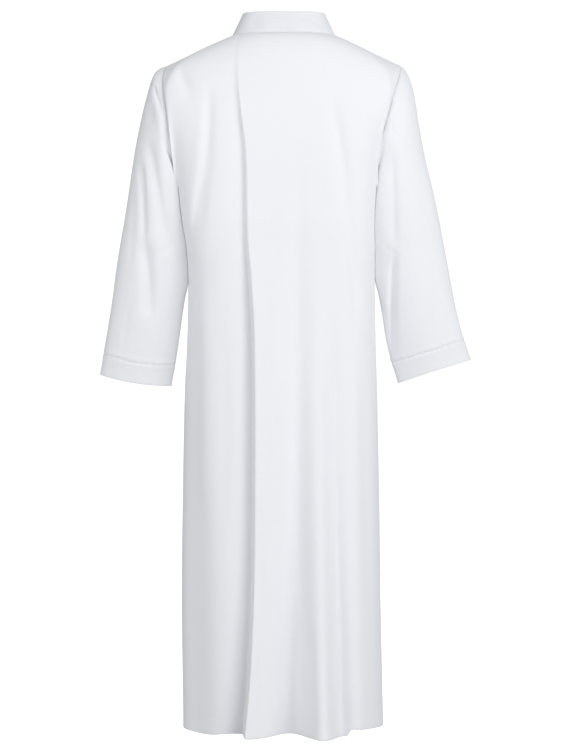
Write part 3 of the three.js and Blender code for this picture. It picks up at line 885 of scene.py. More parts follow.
# ---------------------------------------------------------------- body panels
@dataclass
class BodyPanel:
    """What the back and the fronts share: rows from the top edge to the hem, and their seams."""

    form: BodyForm
    material: bpy.types.Material
    cloth: float = 0.8
    upper_rows: int = 84
    lower_rows: int = 216
    hem_turn: float = 34.0
    hem_thick: float = 0.7
    folds_below_top: float = 0.33
    shoulder_reach: float = 115.0
    creases_from_seam: float = 12.0
    # Width of the painted shade along the seams and the hem.
    edge_shade_width: float = 3.0
    hem_wander: float = 0.8
    hem_wander_length: float = 37.0
    hem_dimple_length: float = 2.6
    hem_dimple: Bump = Bump(-0.22, 0.0, 2.2)
    hem_roll: Bump = Bump(0.3, 6.0, 9.0)
    side_pucker: Pucker = Pucker(0.35, 7.0)
    top_pucker: Pucker = Pucker(0.25, 6.0)
    seam: SeamForm = field(default_factory=SeamForm)

    def upper_shares(self) -> Array:
        """Shares round the armhole at even steps down the cloth.

        The step is measured on a round shoulder: depth as sin of a quarter turn of sin, height as sin
        squared.
        """
        fine = np.linspace(0.0, 1.0, 2001)
        turn = np.sin(math.pi / 2 * fine)
        depth, height = self.shoulder_reach * np.sin(math.pi / 2 * turn), -UNDERARM * turn**2
        length = np.concatenate([[0.0], np.cumsum(np.hypot(np.diff(depth), np.diff(height)))])
        wanted = graded(self.upper_rows, (0.0,), 0.012, 5.0) * length[-1]
        return np.interp(wanted, length, fine)

    def lower_shares(self) -> Array:
        """Shares from the underarm to the hem, finer at the hem's edge and at its turned-up top."""
        turn = 1.0 - self.hem_turn / (UNDERARM - HEM)
        return graded(self.lower_rows, (turn, 1.0), 0.004, 3.0)[1:]

    def levels(self) -> tuple[Array, Array, Array]:
        """The rows' shares round the armhole, shares below it and heights, each as a column."""
        t, v = self.upper_shares(), self.lower_shares()
        drop = np.sin(math.pi / 2 * t) ** 2
        level = np.concatenate([mix(0.0, UNDERARM, drop), mix(UNDERARM, HEM, v)])
        t = np.concatenate([t, np.ones_like(v)])
        v = np.concatenate([np.zeros(len(level) - len(v)), v])
        return t[:, None], v[:, None], level[:, None]

    def fold_share(self, place: Array) -> Array:
        """Folds fade out towards the side seams and the armholes."""
        return 1.0 - np.abs(place) ** EDGE_POWER

    def hem_form(self, above_hem: Array, across: Array) -> Array:
        """The turned-up hem: a faint dimpled line at its top and a soft roll at its edge."""
        line = above_hem - self.hem_turn - self.hem_wander * np.sin(across / self.hem_wander_length)
        dimples = 0.5 + 0.5 * np.sin(across / self.hem_dimple_length)
        return dimples * self.hem_dimple.lift(line) + self.hem_roll.lift(above_hem)


OVERLAP = Table(
    ("z", "x", "step"),
    (
        (-60, 92, 0),
        (-95, 91, 2),
        (-162, 84, 7),
        (-230, 76, 9),
        (-405, 72, 11),
        (-470, 66, 17),
        (-610, 59, 24),
        (-1000, 59, 30),
        (-1195, 65, 42),
        (-1342, 77, 60),
    ),
)
HEM_LINE = Table(
    ("x", "dip"),
    (
        (196, 0),
        (150, -4),
        (100, 0),
        (60, -4),
        (0, 0),
        (-75, -5),
        (-112, -3),
        (-121, -2),
        (-128, 9),
        (-150, 9),
        (-193, 7),
    ),
)
BACK_FOLDS = (
    Fold(-150, HEM, (-27, -24, -14), (-1.5, -37), (14, 29), 2.2),
    Fold(-330, HEM, (-62, -64, -76), (1, 37), (18, 36), 2.2),
    Fold(-520, HEM, (-92, -99, -108), (-3.5, -18), (12, 16)),
    Fold(-560, HEM, (-134, -140, -146), (2, 10), (15, 19), 1.2),
    Fold(-520, HEM, (182, 181, 179), (-8, -22), (24, 38)),
    Fold(-90, -430, (143, 149, 176), (-5, -5), (10, 12)),
    Fold(-25, -150, (212, 196, 174), (-6, -5), (13, 14), ends_over=0.5),
    Fold(-110, -600, (-88, -122, -140), (-4.5, -3), (12, 14)),
)
BACK_CREASES = (
    Crease((206, -66), (193, -92), (174, -130), -0.9, 7, fade=0.5),
    Crease((147, -112), (143, -190), (151, -268), -1.3, 5),
    Crease((152, -262), (165, -330), (180, -420), -2.0, 6, 0.3),
    Crease((160, -160), (163, -230), (172, -300), 1.3, 9),
    Crease((-86, -110), (-105, -215), (-127, -338), -1.1, 8, -0.3, fade=0.45),
    Crease((-124, -330), (-136, -440), (-141, -560), -1.3, 8),
    Crease((-177, -130), (-173, -147), (-169, -166), -0.9, 3),
    Crease((-198, -138), (-188, -170), (-180, -214), -0.8, 4),
    Crease((-30, -62), (-60, -74), (-104, -76), -0.7, 7),
    Crease((58, -70), (84, -86), (120, -96), -0.6, 8),
    Crease((-109, -1236), (-110, -1280), (-111, -1330), -1.8, 3),
    Crease((150, -430), (152, -700), (151, -980), 2.2, 14, -0.3),
    Crease((118, -520), (112, -760), (116, -1010), -1.2, 12),
    Crease((22, -420), (16, -640), (20, -900), 1.2, 14),
    Crease((-150, -620), (-156, -860), (-160, -1120), -1.5, 9),
    Crease((44, -980), (40, -1150), (36, -1380), -2.2, 10),
    Crease((-48, -1120), (-50, -1230), (-54, -1380), -2.4, 8),
)


@dataclass
class BackPanel(BodyPanel):
    """The back: one panel between the side seams, with a long overlapping fold left of its middle."""

    shoulder_spans: float = 8
    neck_spans: float = 24
    fold_after: float = 13
    left_columns: int = 46
    wall_columns: int = 7
    right_columns: int = 94
    wall: float = 6.0
    low_share: float = 0.45
    low_reach: float = 24.0
    proud_reach: float = 60.0

    def columns(self) -> Array:
        """Places of the columns across, counted in spans: finer at both sides and in the fold."""
        spans = 2 * self.shoulder_spans + self.neck_spans
        left = graded(self.left_columns, (0.0,), 0.02, 4.0) * self.fold_after
        wall = self.fold_after + np.linspace(0.0, 1.0, self.wall_columns + 1)[1:]
        start = self.fold_after + 1.0
        right = start + graded(self.right_columns, (1.0,), 0.01, 4.0)[1:] * (spans - start)
        return np.concatenate([left, wall, right])

    def overlap_rise(self, x: Array, z: Array) -> Array:
        """The overlapping fold's lift: low on its left and proud on its right, joined by its wall."""
        away = x - OVERLAP.curve("z", "x")(z)
        step = OVERLAP.curve("z", "step")(z)
        past = np.maximum(np.abs(away) - self.wall / 2, 0.0)
        low = -step * self.low_share * np.exp(-past / self.low_reach)
        proud = step * (1 - self.low_share) * np.exp(-past / self.proud_reach)
        return mix(proud, low, np.clip(away / self.wall + 0.5, 0.0, 1.0))

    def grid(self) -> Array:
        """Points of the panel.

        Along the top lie the shoulder seams and the neckline. Below, columns are placed by their way
        round the rings, so that the fold's wall always lies between the same two columns.
        """
        c = self.columns()
        spans = 2 * self.shoulder_spans + self.neck_spans
        neck = self.form.neckline(math.pi * (0.5 - (c - self.shoulder_spans) / self.neck_spans))
        left = self.form.shoulder(c / self.shoulder_spans, Side.LEFT)
        right = self.form.shoulder((spans - c) / self.shoulder_spans, Side.RIGHT)
        on_left, on_right = c < self.shoulder_spans, c > self.shoulder_spans + self.neck_spans
        top = np.where(on_left[:, None], left, np.where(on_right[:, None], right, neck))[None]
        t, v, level = self.levels()
        half = self.form.half(Side.LEFT, level)
        fold_x = OVERLAP.curve("z", "x")(level)
        fold_left = way_round((fold_x + self.wall / 2) / half)
        fold_right = way_round((fold_x - self.wall / 2) / half)
        after = (c - self.fold_after - 1) / (spans - self.fold_after - 1)
        left_way = mix(1.0, fold_left, c / self.fold_after)
        wall_way = mix(fold_left, fold_right, c - self.fold_after)
        right_way = mix(fold_right, -1.0, after)
        way = np.where(c <= self.fold_after, left_way, np.where(after < 0, wall_way, right_way))
        place = place_at(way)
        upper = self.form.upper(top, place, t, Face.BACK)
        lower = self.form.ring(place, level, Face.BACK)
        points = np.where((v > 0)[..., None], lower, upper)
        x, z = points[..., 0], points[..., 2]
        lift = lift_all(BACK_FOLDS, x, z) + self.overlap_rise(x, z)
        points[..., 1] += lift * self.fold_share(place) * smooth(t / self.folds_below_top)
        points[..., 2] += HEM_LINE.curve("x", "dip")(x) * v**3
        points[..., 1] = np.maximum(points[..., 1], 0.0) + SEAM / 2
        return points

    def build(self) -> bpy.types.Object:
        """Makes the dressed back."""
        grid = self.grid()
        cloth = Cloth(grid, np.full(grid.shape[:2], self.cloth), outward=-1)
        down, across = cloth.down(), cloth.across()
        up, width = down[-1:] - down, across[:, -1:]
        sides = np.minimum(across, width - across)
        near = np.minimum(np.minimum(sides, down), up)
        x, z = grid[..., 0], grid[..., 2]
        lift = lift_all(BACK_CREASES, x, z) * smooth(sides / self.creases_from_seam)
        lift += self.seam.roll(np.minimum(sides, down)) + self.hem_form(up, across)
        lift += self.side_pucker.lift(down, sides)
        lift += self.top_pucker.lift(across, down)
        cloth = cloth.raised(lift)
        backing = self.seam.backing(np.minimum(sides, down))
        backing = np.maximum(backing, self.hem_thick * stepped(self.hem_turn - up))
        cloth.thick = self.cloth + backing
        mesh = cloth.mesh("back_cloth", bell(near, self.edge_shade_width))
        piece = finish_object("back_cloth", mesh, self.material)
        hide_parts("back")
        return piece


FRONT_FOLDS = {
    Side.LEFT: (
        Fold(-360, HEM, (112, 118, 128), (2, 26), (18, 26), 1.5),
        Fold(-420, HEM, (84, 86, 88), (-3, -24), (14, 20), 1.5),
        Fold(-70, -330, (138, 152, 176), (-4, -4), (12, 13)),
        Fold(-120, -620, (64, 70, 62), (-4, -5), (12, 15)),
    ),
    Side.RIGHT: (
        Fold(-300, HEM, (96, 104, 108), (2, 30), (17, 27), 1.6),
        Fold(-460, HEM, (140, 142, 146), (-3, -22), (12, 18), 1.4),
        Fold(-80, -340, (124, 134, 150), (-4, -4), (11, 12)),
        Fold(-150, -560, (52, 58, 50), (-3, -4), (13, 15)),
    ),
}
FRONT_CREASES = {
    Side.LEFT: (
        Crease((206, -64), (190, -98), (172, -132), -1.5, 5),
        Crease((140, -110), (152, -190), (174, -290), -1.6, 6, 0.3),
        Crease((66, -190), (72, -330), (66, -520), -1.5, 7),
        Crease((186, -300), (168, -360), (150, -450), -1.4, 7),
        Crease((150, -420), (152, -700), (154, -1000), 1.8, 14),
        Crease((44, -620), (52, -860), (60, -1150), -1.4, 9),
        Crease((140, -1100), (146, -1220), (150, -1390), -2.4, 8),
    ),
    Side.RIGHT: (
        Crease((200, -68), (182, -100), (168, -140), -1.4, 5),
        Crease((126, -118), (136, -210), (152, -320), -1.5, 6, -0.3),
        Crease((54, -210), (60, -360), (52, -540), -1.3, 8),
        Crease((172, -310), (158, -380), (136, -480), -1.3, 7),
        Crease((72, -560), (76, -800), (84, -1090), -1.5, 10),
        Crease((160, -700), (164, -900), (168, -1180), 1.5, 12),
        Crease((58, -1080), (64, -1210), (68, -1390), -2.2, 8),
    ),
}


@dataclass
class FrontPanel(BodyPanel):
    """A front: from its side seam to its plain turned edge, which stands clear of the middle."""

    side: Side = Side.LEFT
    shoulder_spans: float = 6
    neck_spans: float = 12
    column_count: int = 82
    neck_gap: float = 13.0
    hem_gap: float = 52.0
    facing: float = 28.0
    facing_thick: float = 0.7
    facing_roll: Bump = Bump(0.35, 5.0, 7.0)

    def grid(self) -> Array:
        """Points of the panel, from the side seam to the front edge, by their way round the rings."""
        spans = self.shoulder_spans + self.neck_spans
        c = graded(self.column_count, (0.0, 1.0), 0.02, 4.0) * spans
        neck_end = math.pi - round_angle(np.array(self.neck_gap / self.form.neck_half), NECK_ROUND)
        round_neck = (c - self.shoulder_spans) / self.neck_spans
        neck = self.form.neckline(mix(math.pi / 2, neck_end, round_neck))
        neck[:, 0] = self.side.value * np.abs(neck[:, 0])
        shoulder = self.form.shoulder(c / self.shoulder_spans, self.side)
        top = np.where((c < self.shoulder_spans)[:, None], shoulder, neck)[None]
        t, v, level = self.levels()
        gap = mix(self.neck_gap, self.hem_gap, np.clip(level / HEM, 0.0, 1.0))
        edge = way_round(gap / self.form.half(self.side, level))
        place = self.side.value * place_at(mix(1.0, edge, c / spans))
        upper = self.form.upper(top, place, t, Face.FRONT)
        lower = self.form.ring(place, level, Face.FRONT)
        points = np.where((v > 0)[..., None], lower, upper)
        lift = lift_all(FRONT_FOLDS[self.side], np.abs(points[..., 0]), points[..., 2])
        points[..., 1] -= lift * self.fold_share(place) * smooth(t / self.folds_below_top)
        points[..., 1] = np.minimum(points[..., 1], 0.0) - SEAM / 2
        return points

    def build(self) -> bpy.types.Object:
        """Makes the dressed front."""
        grid = self.grid()
        cloth = Cloth(grid, np.full(grid.shape[:2], self.cloth), outward=self.side.value)
        down, across = cloth.down(), cloth.across()
        up, width = down[-1:] - down, across[:, -1:]
        edge = width - across
        near = np.minimum(np.minimum(np.minimum(across, edge), down), up)
        x, z = np.abs(grid[..., 0]), grid[..., 2]
        lift = lift_all(FRONT_CREASES[self.side], x, z) * smooth(across / self.creases_from_seam)
        lift += self.seam.roll(np.minimum(across, down)) + self.hem_form(up, across)
        lift += self.side_pucker.lift(down, across) + self.top_pucker.lift(across, down)
        lift += self.facing_roll.lift(edge)
        cloth = cloth.raised(lift)
        backing = self.seam.backing(np.minimum(across, down))
        backing = np.maximum(backing, self.hem_thick * stepped(self.hem_turn - up))
        backing = np.maximum(backing, self.facing_thick * stepped(self.facing - edge))
        cloth.thick = self.cloth + backing
        name = f"front_{self.side.name.lower()}"
        mesh = cloth.mesh(f"{name}_cloth", bell(near, self.edge_shade_width))
        piece = finish_object(f"{name}_cloth", mesh, self.material)
        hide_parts(name)
        return piece


# ---------------------------------------------------------------- sleeves
SLEEVE_COLUMNS = ("at", "out_x", "out_z", "in_x", "in_z", "deep", "back")
SLEEVE_RINGS = {
    Side.LEFT: Table(
        SLEEVE_COLUMNS,
        (
            (0.00, 228, -57, 208, -300, 84, 0),
            (0.04, 247, -66, 211, -303, 85, 0),
            (0.08, 257, -84, 208, -309, 85, 0),
            (0.12, 263, -104, 202, -317, 85, 0),
            (0.20, 274, -148, 194, -332, 84, 0),
            (0.30, 288, -215, 187, -355, 82, -1),
            (0.40, 299, -285, 181, -383, 79, -2),
            (0.50, 309, -350, 178, -412, 75, -4),
            (0.60, 318, -400, 182, -452, 71, -6),
            (0.70, 327, -455, 189, -495, 67, -9),
            (0.80, 336, -520, 197, -545, 61, -13),
            (0.90, 348, -590, 206, -607, 54, -18),
            (1.00, 360, -658, 219, -680, 46, -24),
        ),
    ),
    Side.RIGHT: Table(
        SLEEVE_COLUMNS,
        (
            (0.00, 228, -57, 180, -300, 84, 0),
            (0.04, 239, -70, 183, -303, 85, 0),
            (0.08, 248, -91, 180, -309, 85, 0),
            (0.12, 254, -118, 176, -317, 85, 0),
            (0.20, 262, -170, 170, -332, 84, 0),
            (0.30, 274, -236, 166, -355, 83, -1),
            (0.40, 289, -297, 164, -383, 80, -2),
            (0.50, 301, -352, 165, -412, 77, -4),
            (0.60, 310, -398, 171, -448, 72, -6),
            (0.70, 321, -455, 180, -490, 68, -9),
            (0.80, 333, -518, 190, -542, 62, -13),
            (0.90, 349, -580, 201, -605, 55, -18),
            (1.00, 366, -629, 222, -675, 47, -24),
        ),
    ),
}
SLEEVE_FOLDS = {
    Side.LEFT: (
        Fold(-190, -430, (262, 242, 224), (-4, -4), (10, 13)),
        Fold(-240, -420, (279, 271, 270), (-4, -4), (6, 7)),
        Fold(-390, -560, (268, 262, 262), (-6, -6), (12, 14)),
    ),
    Side.RIGHT: (
        Fold(-220, -430, (208, 210, 212), (-4, -4), (11, 12)),
        Fold(-410, -640, (213, 209, 212), (-6, -5), (8, 9)),
    ),
}
SLEEVE_CREASES = {
    (Side.LEFT, Face.BACK): (
        Crease((258, -196), (243, -290), (224, -404), -1.0, 7, 0.3, fade=0.45),
        Crease((274, -250), (268, -300), (267, -412), -1.8, 3.5, 0.3),
        Crease((270, -410), (262, -466), (258, -530), -1.8, 7),
        Crease((290, -300), (292, -380), (300, -470), -0.9, 6),
        Crease((232, -430), (236, -500), (246, -590), -1.0, 7),
        Crease((212, -396), (226, -418), (250, -430), -1.1, 5),
        Crease((300, -520), (306, -570), (314, -618), -0.7, 6),
        Crease((248, -120), (252, -150), (262, -190), -0.9, 6),
        Crease((251, -96), (243, -124), (230, -160), -4.5, 4, 0.4),
    ),
    (Side.RIGHT, Face.BACK): (
        Crease((204, -160), (206, -180), (210, -204), -0.7, 3),
        Crease((206, -232), (210, -330), (213, -430), -1.1, 7),
        Crease((211, -430), (207, -503), (207, -622), -1.9, 4, -0.3),
        Crease((192, -520), (196, -560), (204, -630), -1.5, 7),
        Crease((262, -250), (270, -330), (276, -420), -0.7, 8),
        Crease((286, -430), (292, -500), (304, -580), -0.8, 7),
        Crease((188, -400), (204, -420), (226, -428), -0.9, 5),
    ),
    (Side.LEFT, Face.FRONT): (
        Crease((250, -170), (236, -260), (216, -350), -1.5, 6, 0.3),
        Crease((226, -330), (242, -372), (266, -392), -1.6, 6),
        Crease((212, -400), (236, -440), (270, -462), -1.7, 6),
        Crease((276, -300), (282, -380), (284, -470), -0.9, 7),
        Crease((240, -480), (248, -540), (262, -610), -1.0, 8),
    ),
    (Side.RIGHT, Face.FRONT): (
        Crease((244, -176), (228, -262), (206, -356), -1.4, 6, 0.3),
        Crease((214, -340), (232, -378), (258, -400), -1.5, 6),
        Crease((200, -410), (226, -446), (262, -470), -1.6, 6),
        Crease((270, -310), (278, -400), (286, -490), -0.8, 7),
        Crease((226, -470), (232, -530), (240, -600), -1.0, 8),
    ),
}
CUFF_DROOP = {Side.LEFT: 6.0, Side.RIGHT: -1.0}


@dataclass
class Sleeve:
    """A set-in sleeve: rings that turn from the armhole to its end, turned up and stitched."""

    form: BodyForm
    material: bpy.types.Material
    thread: bpy.types.Material
    side: Side = Side.LEFT
    cloth: float = 0.8
    rows: int = 190
    around: int = 200
    clear: float = 0.5
    clear_over: float = 12.0
    hug: float = 26.0
    hug_parts: float = 6.0
    hug_from: float = -185.0
    hug_over: float = 60.0
    armhole_into_sleeve: float = 0.2
    droop_power: int = 6
    inner_full: tuple[float, float] = (0.8, 0.62)
    outer_square: float = 0.55
    turn_up: float = 41.0
    turn_thick: float = 0.7
    stitch_length: float = 2.7
    stitch_pitch: float = 3.5
    face_fade: float = 0.45
    head_roll: float = 0.5
    under_roll: float = 0.7
    head_full: Bump = Bump(0.6, 9.0, 8.0)
    head_pucker: Pucker = Pucker(0.25, 8.0)
    line_bumps: tuple[Bump, ...] = (Bump(-0.85, 0.0, 1.8), Bump(0.5, 6.0, 5.0), Bump(0.4, -6.0, 6.0))
    line_pucker: Pucker = Pucker(0.4, 9.0)
    end_roll: Bump = Bump(0.25, 4.0, 5.0)
    # Width of the painted shade along the seams, the stitch line and the sleeve's end.
    edge_shade_width: float = 2.5
    seam: SeamForm = field(default_factory=SeamForm)

    @property
    def name(self) -> str:
        """The sleeve's node."""
        return f"sleeve_{self.side.name.lower()}"

    def clear_of_body(self, points: Array, parted: Array) -> Array:
        """Moves points out to the body's side, and draws near ones up to it where the sleeve lies on it.

        Args:
            points: Points of the sleeve.
            parted: How far each ring's inner edge has parted from the body.

        Returns:
            The moved points.
        """
        x, y, z = points[..., 0], points[..., 1], points[..., 2]
        reach = np.where(y > 0, self.form.ring_reach[Face.BACK](z), self.form.ring_reach[Face.FRONT](z))
        depth = round_depth(np.minimum(np.abs(y) / reach, 1.0), self.form.ring_round[self.side](z))
        wall = self.form.half(self.side, z) * depth + self.clear
        gap = np.maximum(x - wall, 0.0)
        drawn = gap * mix(smooth(gap / self.hug), 1.0, smooth(parted / self.hug_parts)) - gap
        x = x + drawn * smooth((self.hug_from - z) / self.hug_over)
        points[..., 0] = mix(x, np.maximum(x, wall), smooth((UNDERARM - z) / self.clear_over))
        return points

    def grid(self) -> Array:
        """Points of the sleeve on the wearer's left, before it is put on its own side.

        Each ring is an ellipse between an outer and an inner edge, squarer at its outer side. The
        inner edge lies towards the back, so that the back stays flat up to it. Near the armhole the
        ring is pulled to the armhole's own edge, and its end sags a little between its two sides.
        """
        table = SLEEVE_RINGS[self.side]
        at = {column: table.curve("at", column) for column in SLEEVE_COLUMNS}
        k = graded(self.rows, (0.0, 0.94, 1.0), 0.008, 4.0)[:, None]
        angle = (2 * math.pi * np.arange(self.around) / self.around)[None]
        up, turn = (1.0 + np.cos(angle)) / 2, np.sin(angle)
        droop = CUFF_DROOP[self.side] * k**self.droop_power * turn**2
        x = mix(at["in_x"](k), at["out_x"](k), up)
        full = mix(*self.inner_full, k**2) * np.maximum(-np.cos(angle), 0.0)
        square = mix(1.0, self.outer_square, np.maximum(np.cos(angle), 0.0))
        rounded = (1.0 - full * np.sign(turn)) * signed_power(turn, square)
        y = at["back"](k) + at["deep"](k) * (full + rounded)
        z = mix(at["in_z"](k), at["out_z"](k), up) - droop
        points = np.stack([x, y, z], -1)
        pull = self.form.armhole(angle, self.side) - points[:1]
        points = points + pull * (1.0 - smooth(k / self.armhole_into_sleeve))[..., None]
        points[..., 1] += turn * lift_all(SLEEVE_FOLDS[self.side], points[..., 0], points[..., 2])
        parted = at["in_x"](k) - self.form.half(self.side, at["in_z"](k))
        points[1:] = self.clear_of_body(points[1:], parted[1:])
        onward = points[1] - points[0]
        points[0] += onward / np.linalg.norm(onward, axis=-1, keepdims=True) * SEAM
        return points

    def relief(self, cloth: Cloth, angle: Array) -> Array:
        """How far creases, seams and the stitched end lift the cloth.

        Creases lie on the back or the front half and fade towards its two edges. The seam under the
        arm and the one at the armhole roll in. The stitches pull in a line that wanders a little, and
        the cloth stands fuller on both sides of it.
        """
        x, z = np.abs(cloth.outer[..., 0]), cloth.outer[..., 2]
        turn = np.sin(angle)
        lift = np.zeros(x.shape)
        for face in Face:
            on = smooth(turn * face.value / self.face_fade)
            lift += on * lift_all(SLEEVE_CREASES[(self.side, face)], x, z)
        down, across = cloth.down(), cloth.across()
        up = down[-1:] - down
        under = np.abs(across - across[:, self.around // 2][:, None])
        lift += self.head_roll * self.seam.roll(down) + self.head_full.lift(down)
        lift += self.head_pucker.lift(across, down) + self.under_roll * self.seam.roll(under)
        line = up - self.stitch_height(across)
        lift += sum(bump.lift(line) for bump in self.line_bumps)
        lift += self.line_pucker.lift(across, line) + self.end_roll.lift(up)
        return lift

    def stitch_height(self, across: Array) -> Array:
        """Height of the line of stitches above the sleeve's end, which wanders by about 1 mm."""
        return self.turn_up + wander(across, STITCH_WAVES)

    def build(self) -> bpy.types.Object:
        """Makes the dressed sleeve and its stitches."""
        grid = self.grid()
        grid[..., 0] *= self.side.value
        cloth = Cloth(grid, np.full(grid.shape[:2], self.cloth), closed=True, outward=self.side.value)
        from_middle = grid[..., 0] - grid[..., 0].mean(axis=1, keepdims=True)
        if (cloth.normals()[..., 0] * from_middle).sum() < 0:
            cloth.outward = -cloth.outward
        angle = (2 * math.pi * np.arange(self.around) / self.around)[None]
        cloth = cloth.raised(self.relief(cloth, angle))
        down, across = cloth.down(), cloth.across()
        up = down[-1:] - down
        backing = self.seam.backing(down)
        turn_up = self.turn_thick * stepped(self.turn_up + 1.0 - up)
        cloth.thick = self.cloth + np.maximum(backing, turn_up)
        near = bell(np.minimum(np.minimum(down, up), np.abs(up - self.turn_up)), self.edge_shade_width)
        mesh = cloth.mesh(f"{self.name}_cloth", near)
        piece = finish_object(f"{self.name}_cloth", mesh, self.material)
        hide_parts(self.name)
        stitches = self.stitches(cloth, up, across)
        return piece

    def stitches(self, cloth: Cloth, up: Array, across: Array) -> bpy.types.Object:
        """The row of stitches round the sleeve's end.

        The row's path is where each column reaches the stitches' height, and stitches lie along it at
        an even pitch, each with its ends sunk into the cloth.
        """
        normals = cloth.normals()
        height = self.stitch_height(across[-1])
        columns = range(self.around)
        path, lean = (
            np.stack([[np.interp(-height[c], -up[:, c], grid[:, c, i]) for i in range(3)] for c in columns])
            for grid in (cloth.outer, normals)
        )
        path, lean = (np.concatenate([row, row[:1]]) for row in (path, lean))
        run = np.concatenate([[0.0], np.cumsum(np.linalg.norm(np.diff(path, axis=0), axis=-1))])
        count = int(run[-1] / self.stitch_pitch)
        middle = (np.arange(count) + 0.5) * run[-1] / count
        ends = [middle + side * self.stitch_length / 2 for side in (-1, 1)]
        tail, head = (
            np.stack([np.interp(at % run[-1], run, path[:, i]) for i in range(3)], -1) for at in ends
        )
        out = np.stack([np.interp(middle, run, lean[:, i]) for i in range(3)], -1)
        name = f"{self.name}_stitches"
        return finish_object(name, stitch_mesh(name, tail, head, out), self.thread)


STITCH_RINGS = 5
STITCH_SIDES = 6
STITCH_ENDS = 0.96
STITCH_BOW = 0.5


def stitch_mesh(name: str, tail: Array, head: Array, out: Array, radius: float = 0.28) -> bpy.types.Mesh:
    """Stitches as short bowed tubes with closed ends.

    Each is five rings of six points along the line from tail to head. A ring is the thread's radius
    times the root of one minus the square of its place, and the middle bows out by half a radius.

    Args:
        name: Name of the mesh.
        tail: Start of each stitch.
        head: End of each stitch.
        out: Outward direction at each stitch.
        radius: Radius of the thread.

    Returns:
        The mesh.
    """
    along = head - tail
    along /= np.linalg.norm(along, axis=-1, keepdims=True)
    side = np.cross(along, out)
    side /= np.linalg.norm(side, axis=-1, keepdims=True)
    up = np.cross(side, along)
    place = np.linspace(-STITCH_ENDS, STITCH_ENDS, STITCH_RINGS)[None, :, None, None]
    turn = (2 * math.pi * np.arange(STITCH_SIDES) / STITCH_SIDES)[None, None, :, None]
    size = radius * np.sqrt(1.0 - place**2)
    middle = ((head + tail) / 2)[:, None, None] + ((head - tail) / 2)[:, None, None] * place
    bow = up[:, None, None] * (STITCH_BOW * radius * (1.0 - place**2))
    ring = side[:, None, None] * np.cos(turn) + up[:, None, None] * np.sin(turn)
    points = (middle + bow + ring * size).reshape(-1, 3) * MM
    r, c = np.arange(STITCH_RINGS - 1)[:, None] * STITCH_SIDES, np.arange(STITCH_SIDES)[None]
    beside = (c + 1) % STITCH_SIDES
    tube = np.stack([r + c, r + beside, r + STITCH_SIDES + beside, r + STITCH_SIDES + c], -1)
    first = np.array([[3, 2, 1, 0], [5, 4, 3, 0]])
    last = np.array([[0, 1, 2, 3], [0, 3, 4, 5]]) + (STITCH_RINGS - 1) * STITCH_SIDES
    one = np.concatenate([tube.reshape(-1, 4), first, last])
    starts = np.arange(len(tail)) * STITCH_RINGS * STITCH_SIDES
    quads = (one[None] + starts[:, None, None]).reshape(-1, 4)
    uvs = np.zeros((len(quads), 4, 2))
    return make_mesh(name, points, quads, uvs, np.zeros(len(points)))


# ---------------------------------------------------------------- collar
@dataclass
class Collar:
    """The standing collar: a band along the neckline that leans in, open at the front."""

    form: BodyForm
    material: bpy.types.Material
    height: float = 43.0
    front_height: float = 36.0
    lean_side: float = 21.0
    lean_back: float = 9.0
    lean_front: float = 10.0
    neck_gap: float = 13.0
    rows: int = 26
    columns: int = 320
    cloth: float = 1.3
    foot_roll: Bump = Bump(0.35, 3.0, 4.0)
    top_pucker: Pucker = Pucker(0.2, 5.0)
    # Width of the painted shade along the collar's edges.
    edge_shade_width: float = 2.5
    seam: SeamForm = field(default_factory=lambda: SeamForm(dip=0.7))

    def creases(self, across: Array, height: Array) -> Array:
        """The band's few marks: a soft dent, a slanting crease and small sags at the shoulders."""
        marks = (
            Crease((62, 6), (56, 20), (50, 38), -1.6, 11),
            Crease((-24, 36), (-56, 24), (-92, 10), -0.9, 4),
            Crease((-2, 4), (-6, 16), (-4, 30), -0.6, 9),
            Crease((96, 30), (104, 18), (110, 4), -1.0, 6),
            Crease((-112, 34), (-122, 20), (-128, 4), -1.0, 6),
            Crease((176, 34), (190, 22), (206, 12), -0.8, 6),
            Crease((-182, 32), (-196, 18), (-204, 6), -0.9, 7),
        )
        return lift_all(marks, across, height)

    def grid(self) -> Array:
        """Points of the band, each column of it at its own angle round the neckline."""
        end = math.pi - float(round_angle(np.array(self.neck_gap / self.form.neck_half), NECK_ROUND))
        angle = end - graded(self.columns, (0.0, 1.0), 0.006, 3.0) * 2 * end
        base = self.form.neckline(angle)
        turn = np.cos(angle)
        back, front = np.maximum(turn, 0.0), np.maximum(-turn, 0.0)
        lean = back * self.lean_back + front * self.lean_front
        height = mix(self.height, self.front_height, front)
        pull = np.stack([-np.sin(angle) * self.lean_side, -turn * lean, height], -1)
        k = graded(self.rows, (0.0, 1.0), 0.05, 2.0)[:, None, None]
        points = base[None] + pull[None] * k
        points[..., 2] += SEAM
        return points

    def build(self) -> bpy.types.Object:
        """Makes the dressed collar."""
        grid = self.grid()
        cloth = Cloth(grid, np.full(grid.shape[:2], self.cloth), outward=1)
        up, across = cloth.down(), cloth.across()
        low = up[-1:] - up
        middle = across - across[:, -1:] / 2
        sides = np.minimum(across, across[:, -1:] - across)
        lift = self.creases(-middle, up) + self.seam.roll(up) + self.foot_roll.lift(low)
        lift += self.top_pucker.lift(across, up)
        cloth = cloth.raised(lift)
        near = bell(np.minimum(np.minimum(up, low), sides), self.edge_shade_width)
        piece = finish_object("collar_cloth", cloth.mesh("collar_cloth", near), self.material)
        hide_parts("collar")
        return piece


# ---------------------------------------------------------------- studio
@dataclass(frozen=True)
class Lamp:
    """A square soft light: its name, place and size in metres, and its watts."""

    name: str
    place: tuple[float, float, float]
    size: float
    watts: float


LAMPS = (
    Lamp("key", (-2.1, 3.0, 1.3), 2.2, 79.0),
    Lamp("fill", (2.6, 2.6, -0.4), 2.6, 50.0),
    Lamp("side", (-3.0, 2.2, -0.9), 2.2, 25.6),
    Lamp("far", (-0.8, -3.8, 0.5), 2.4, 60.0),
)


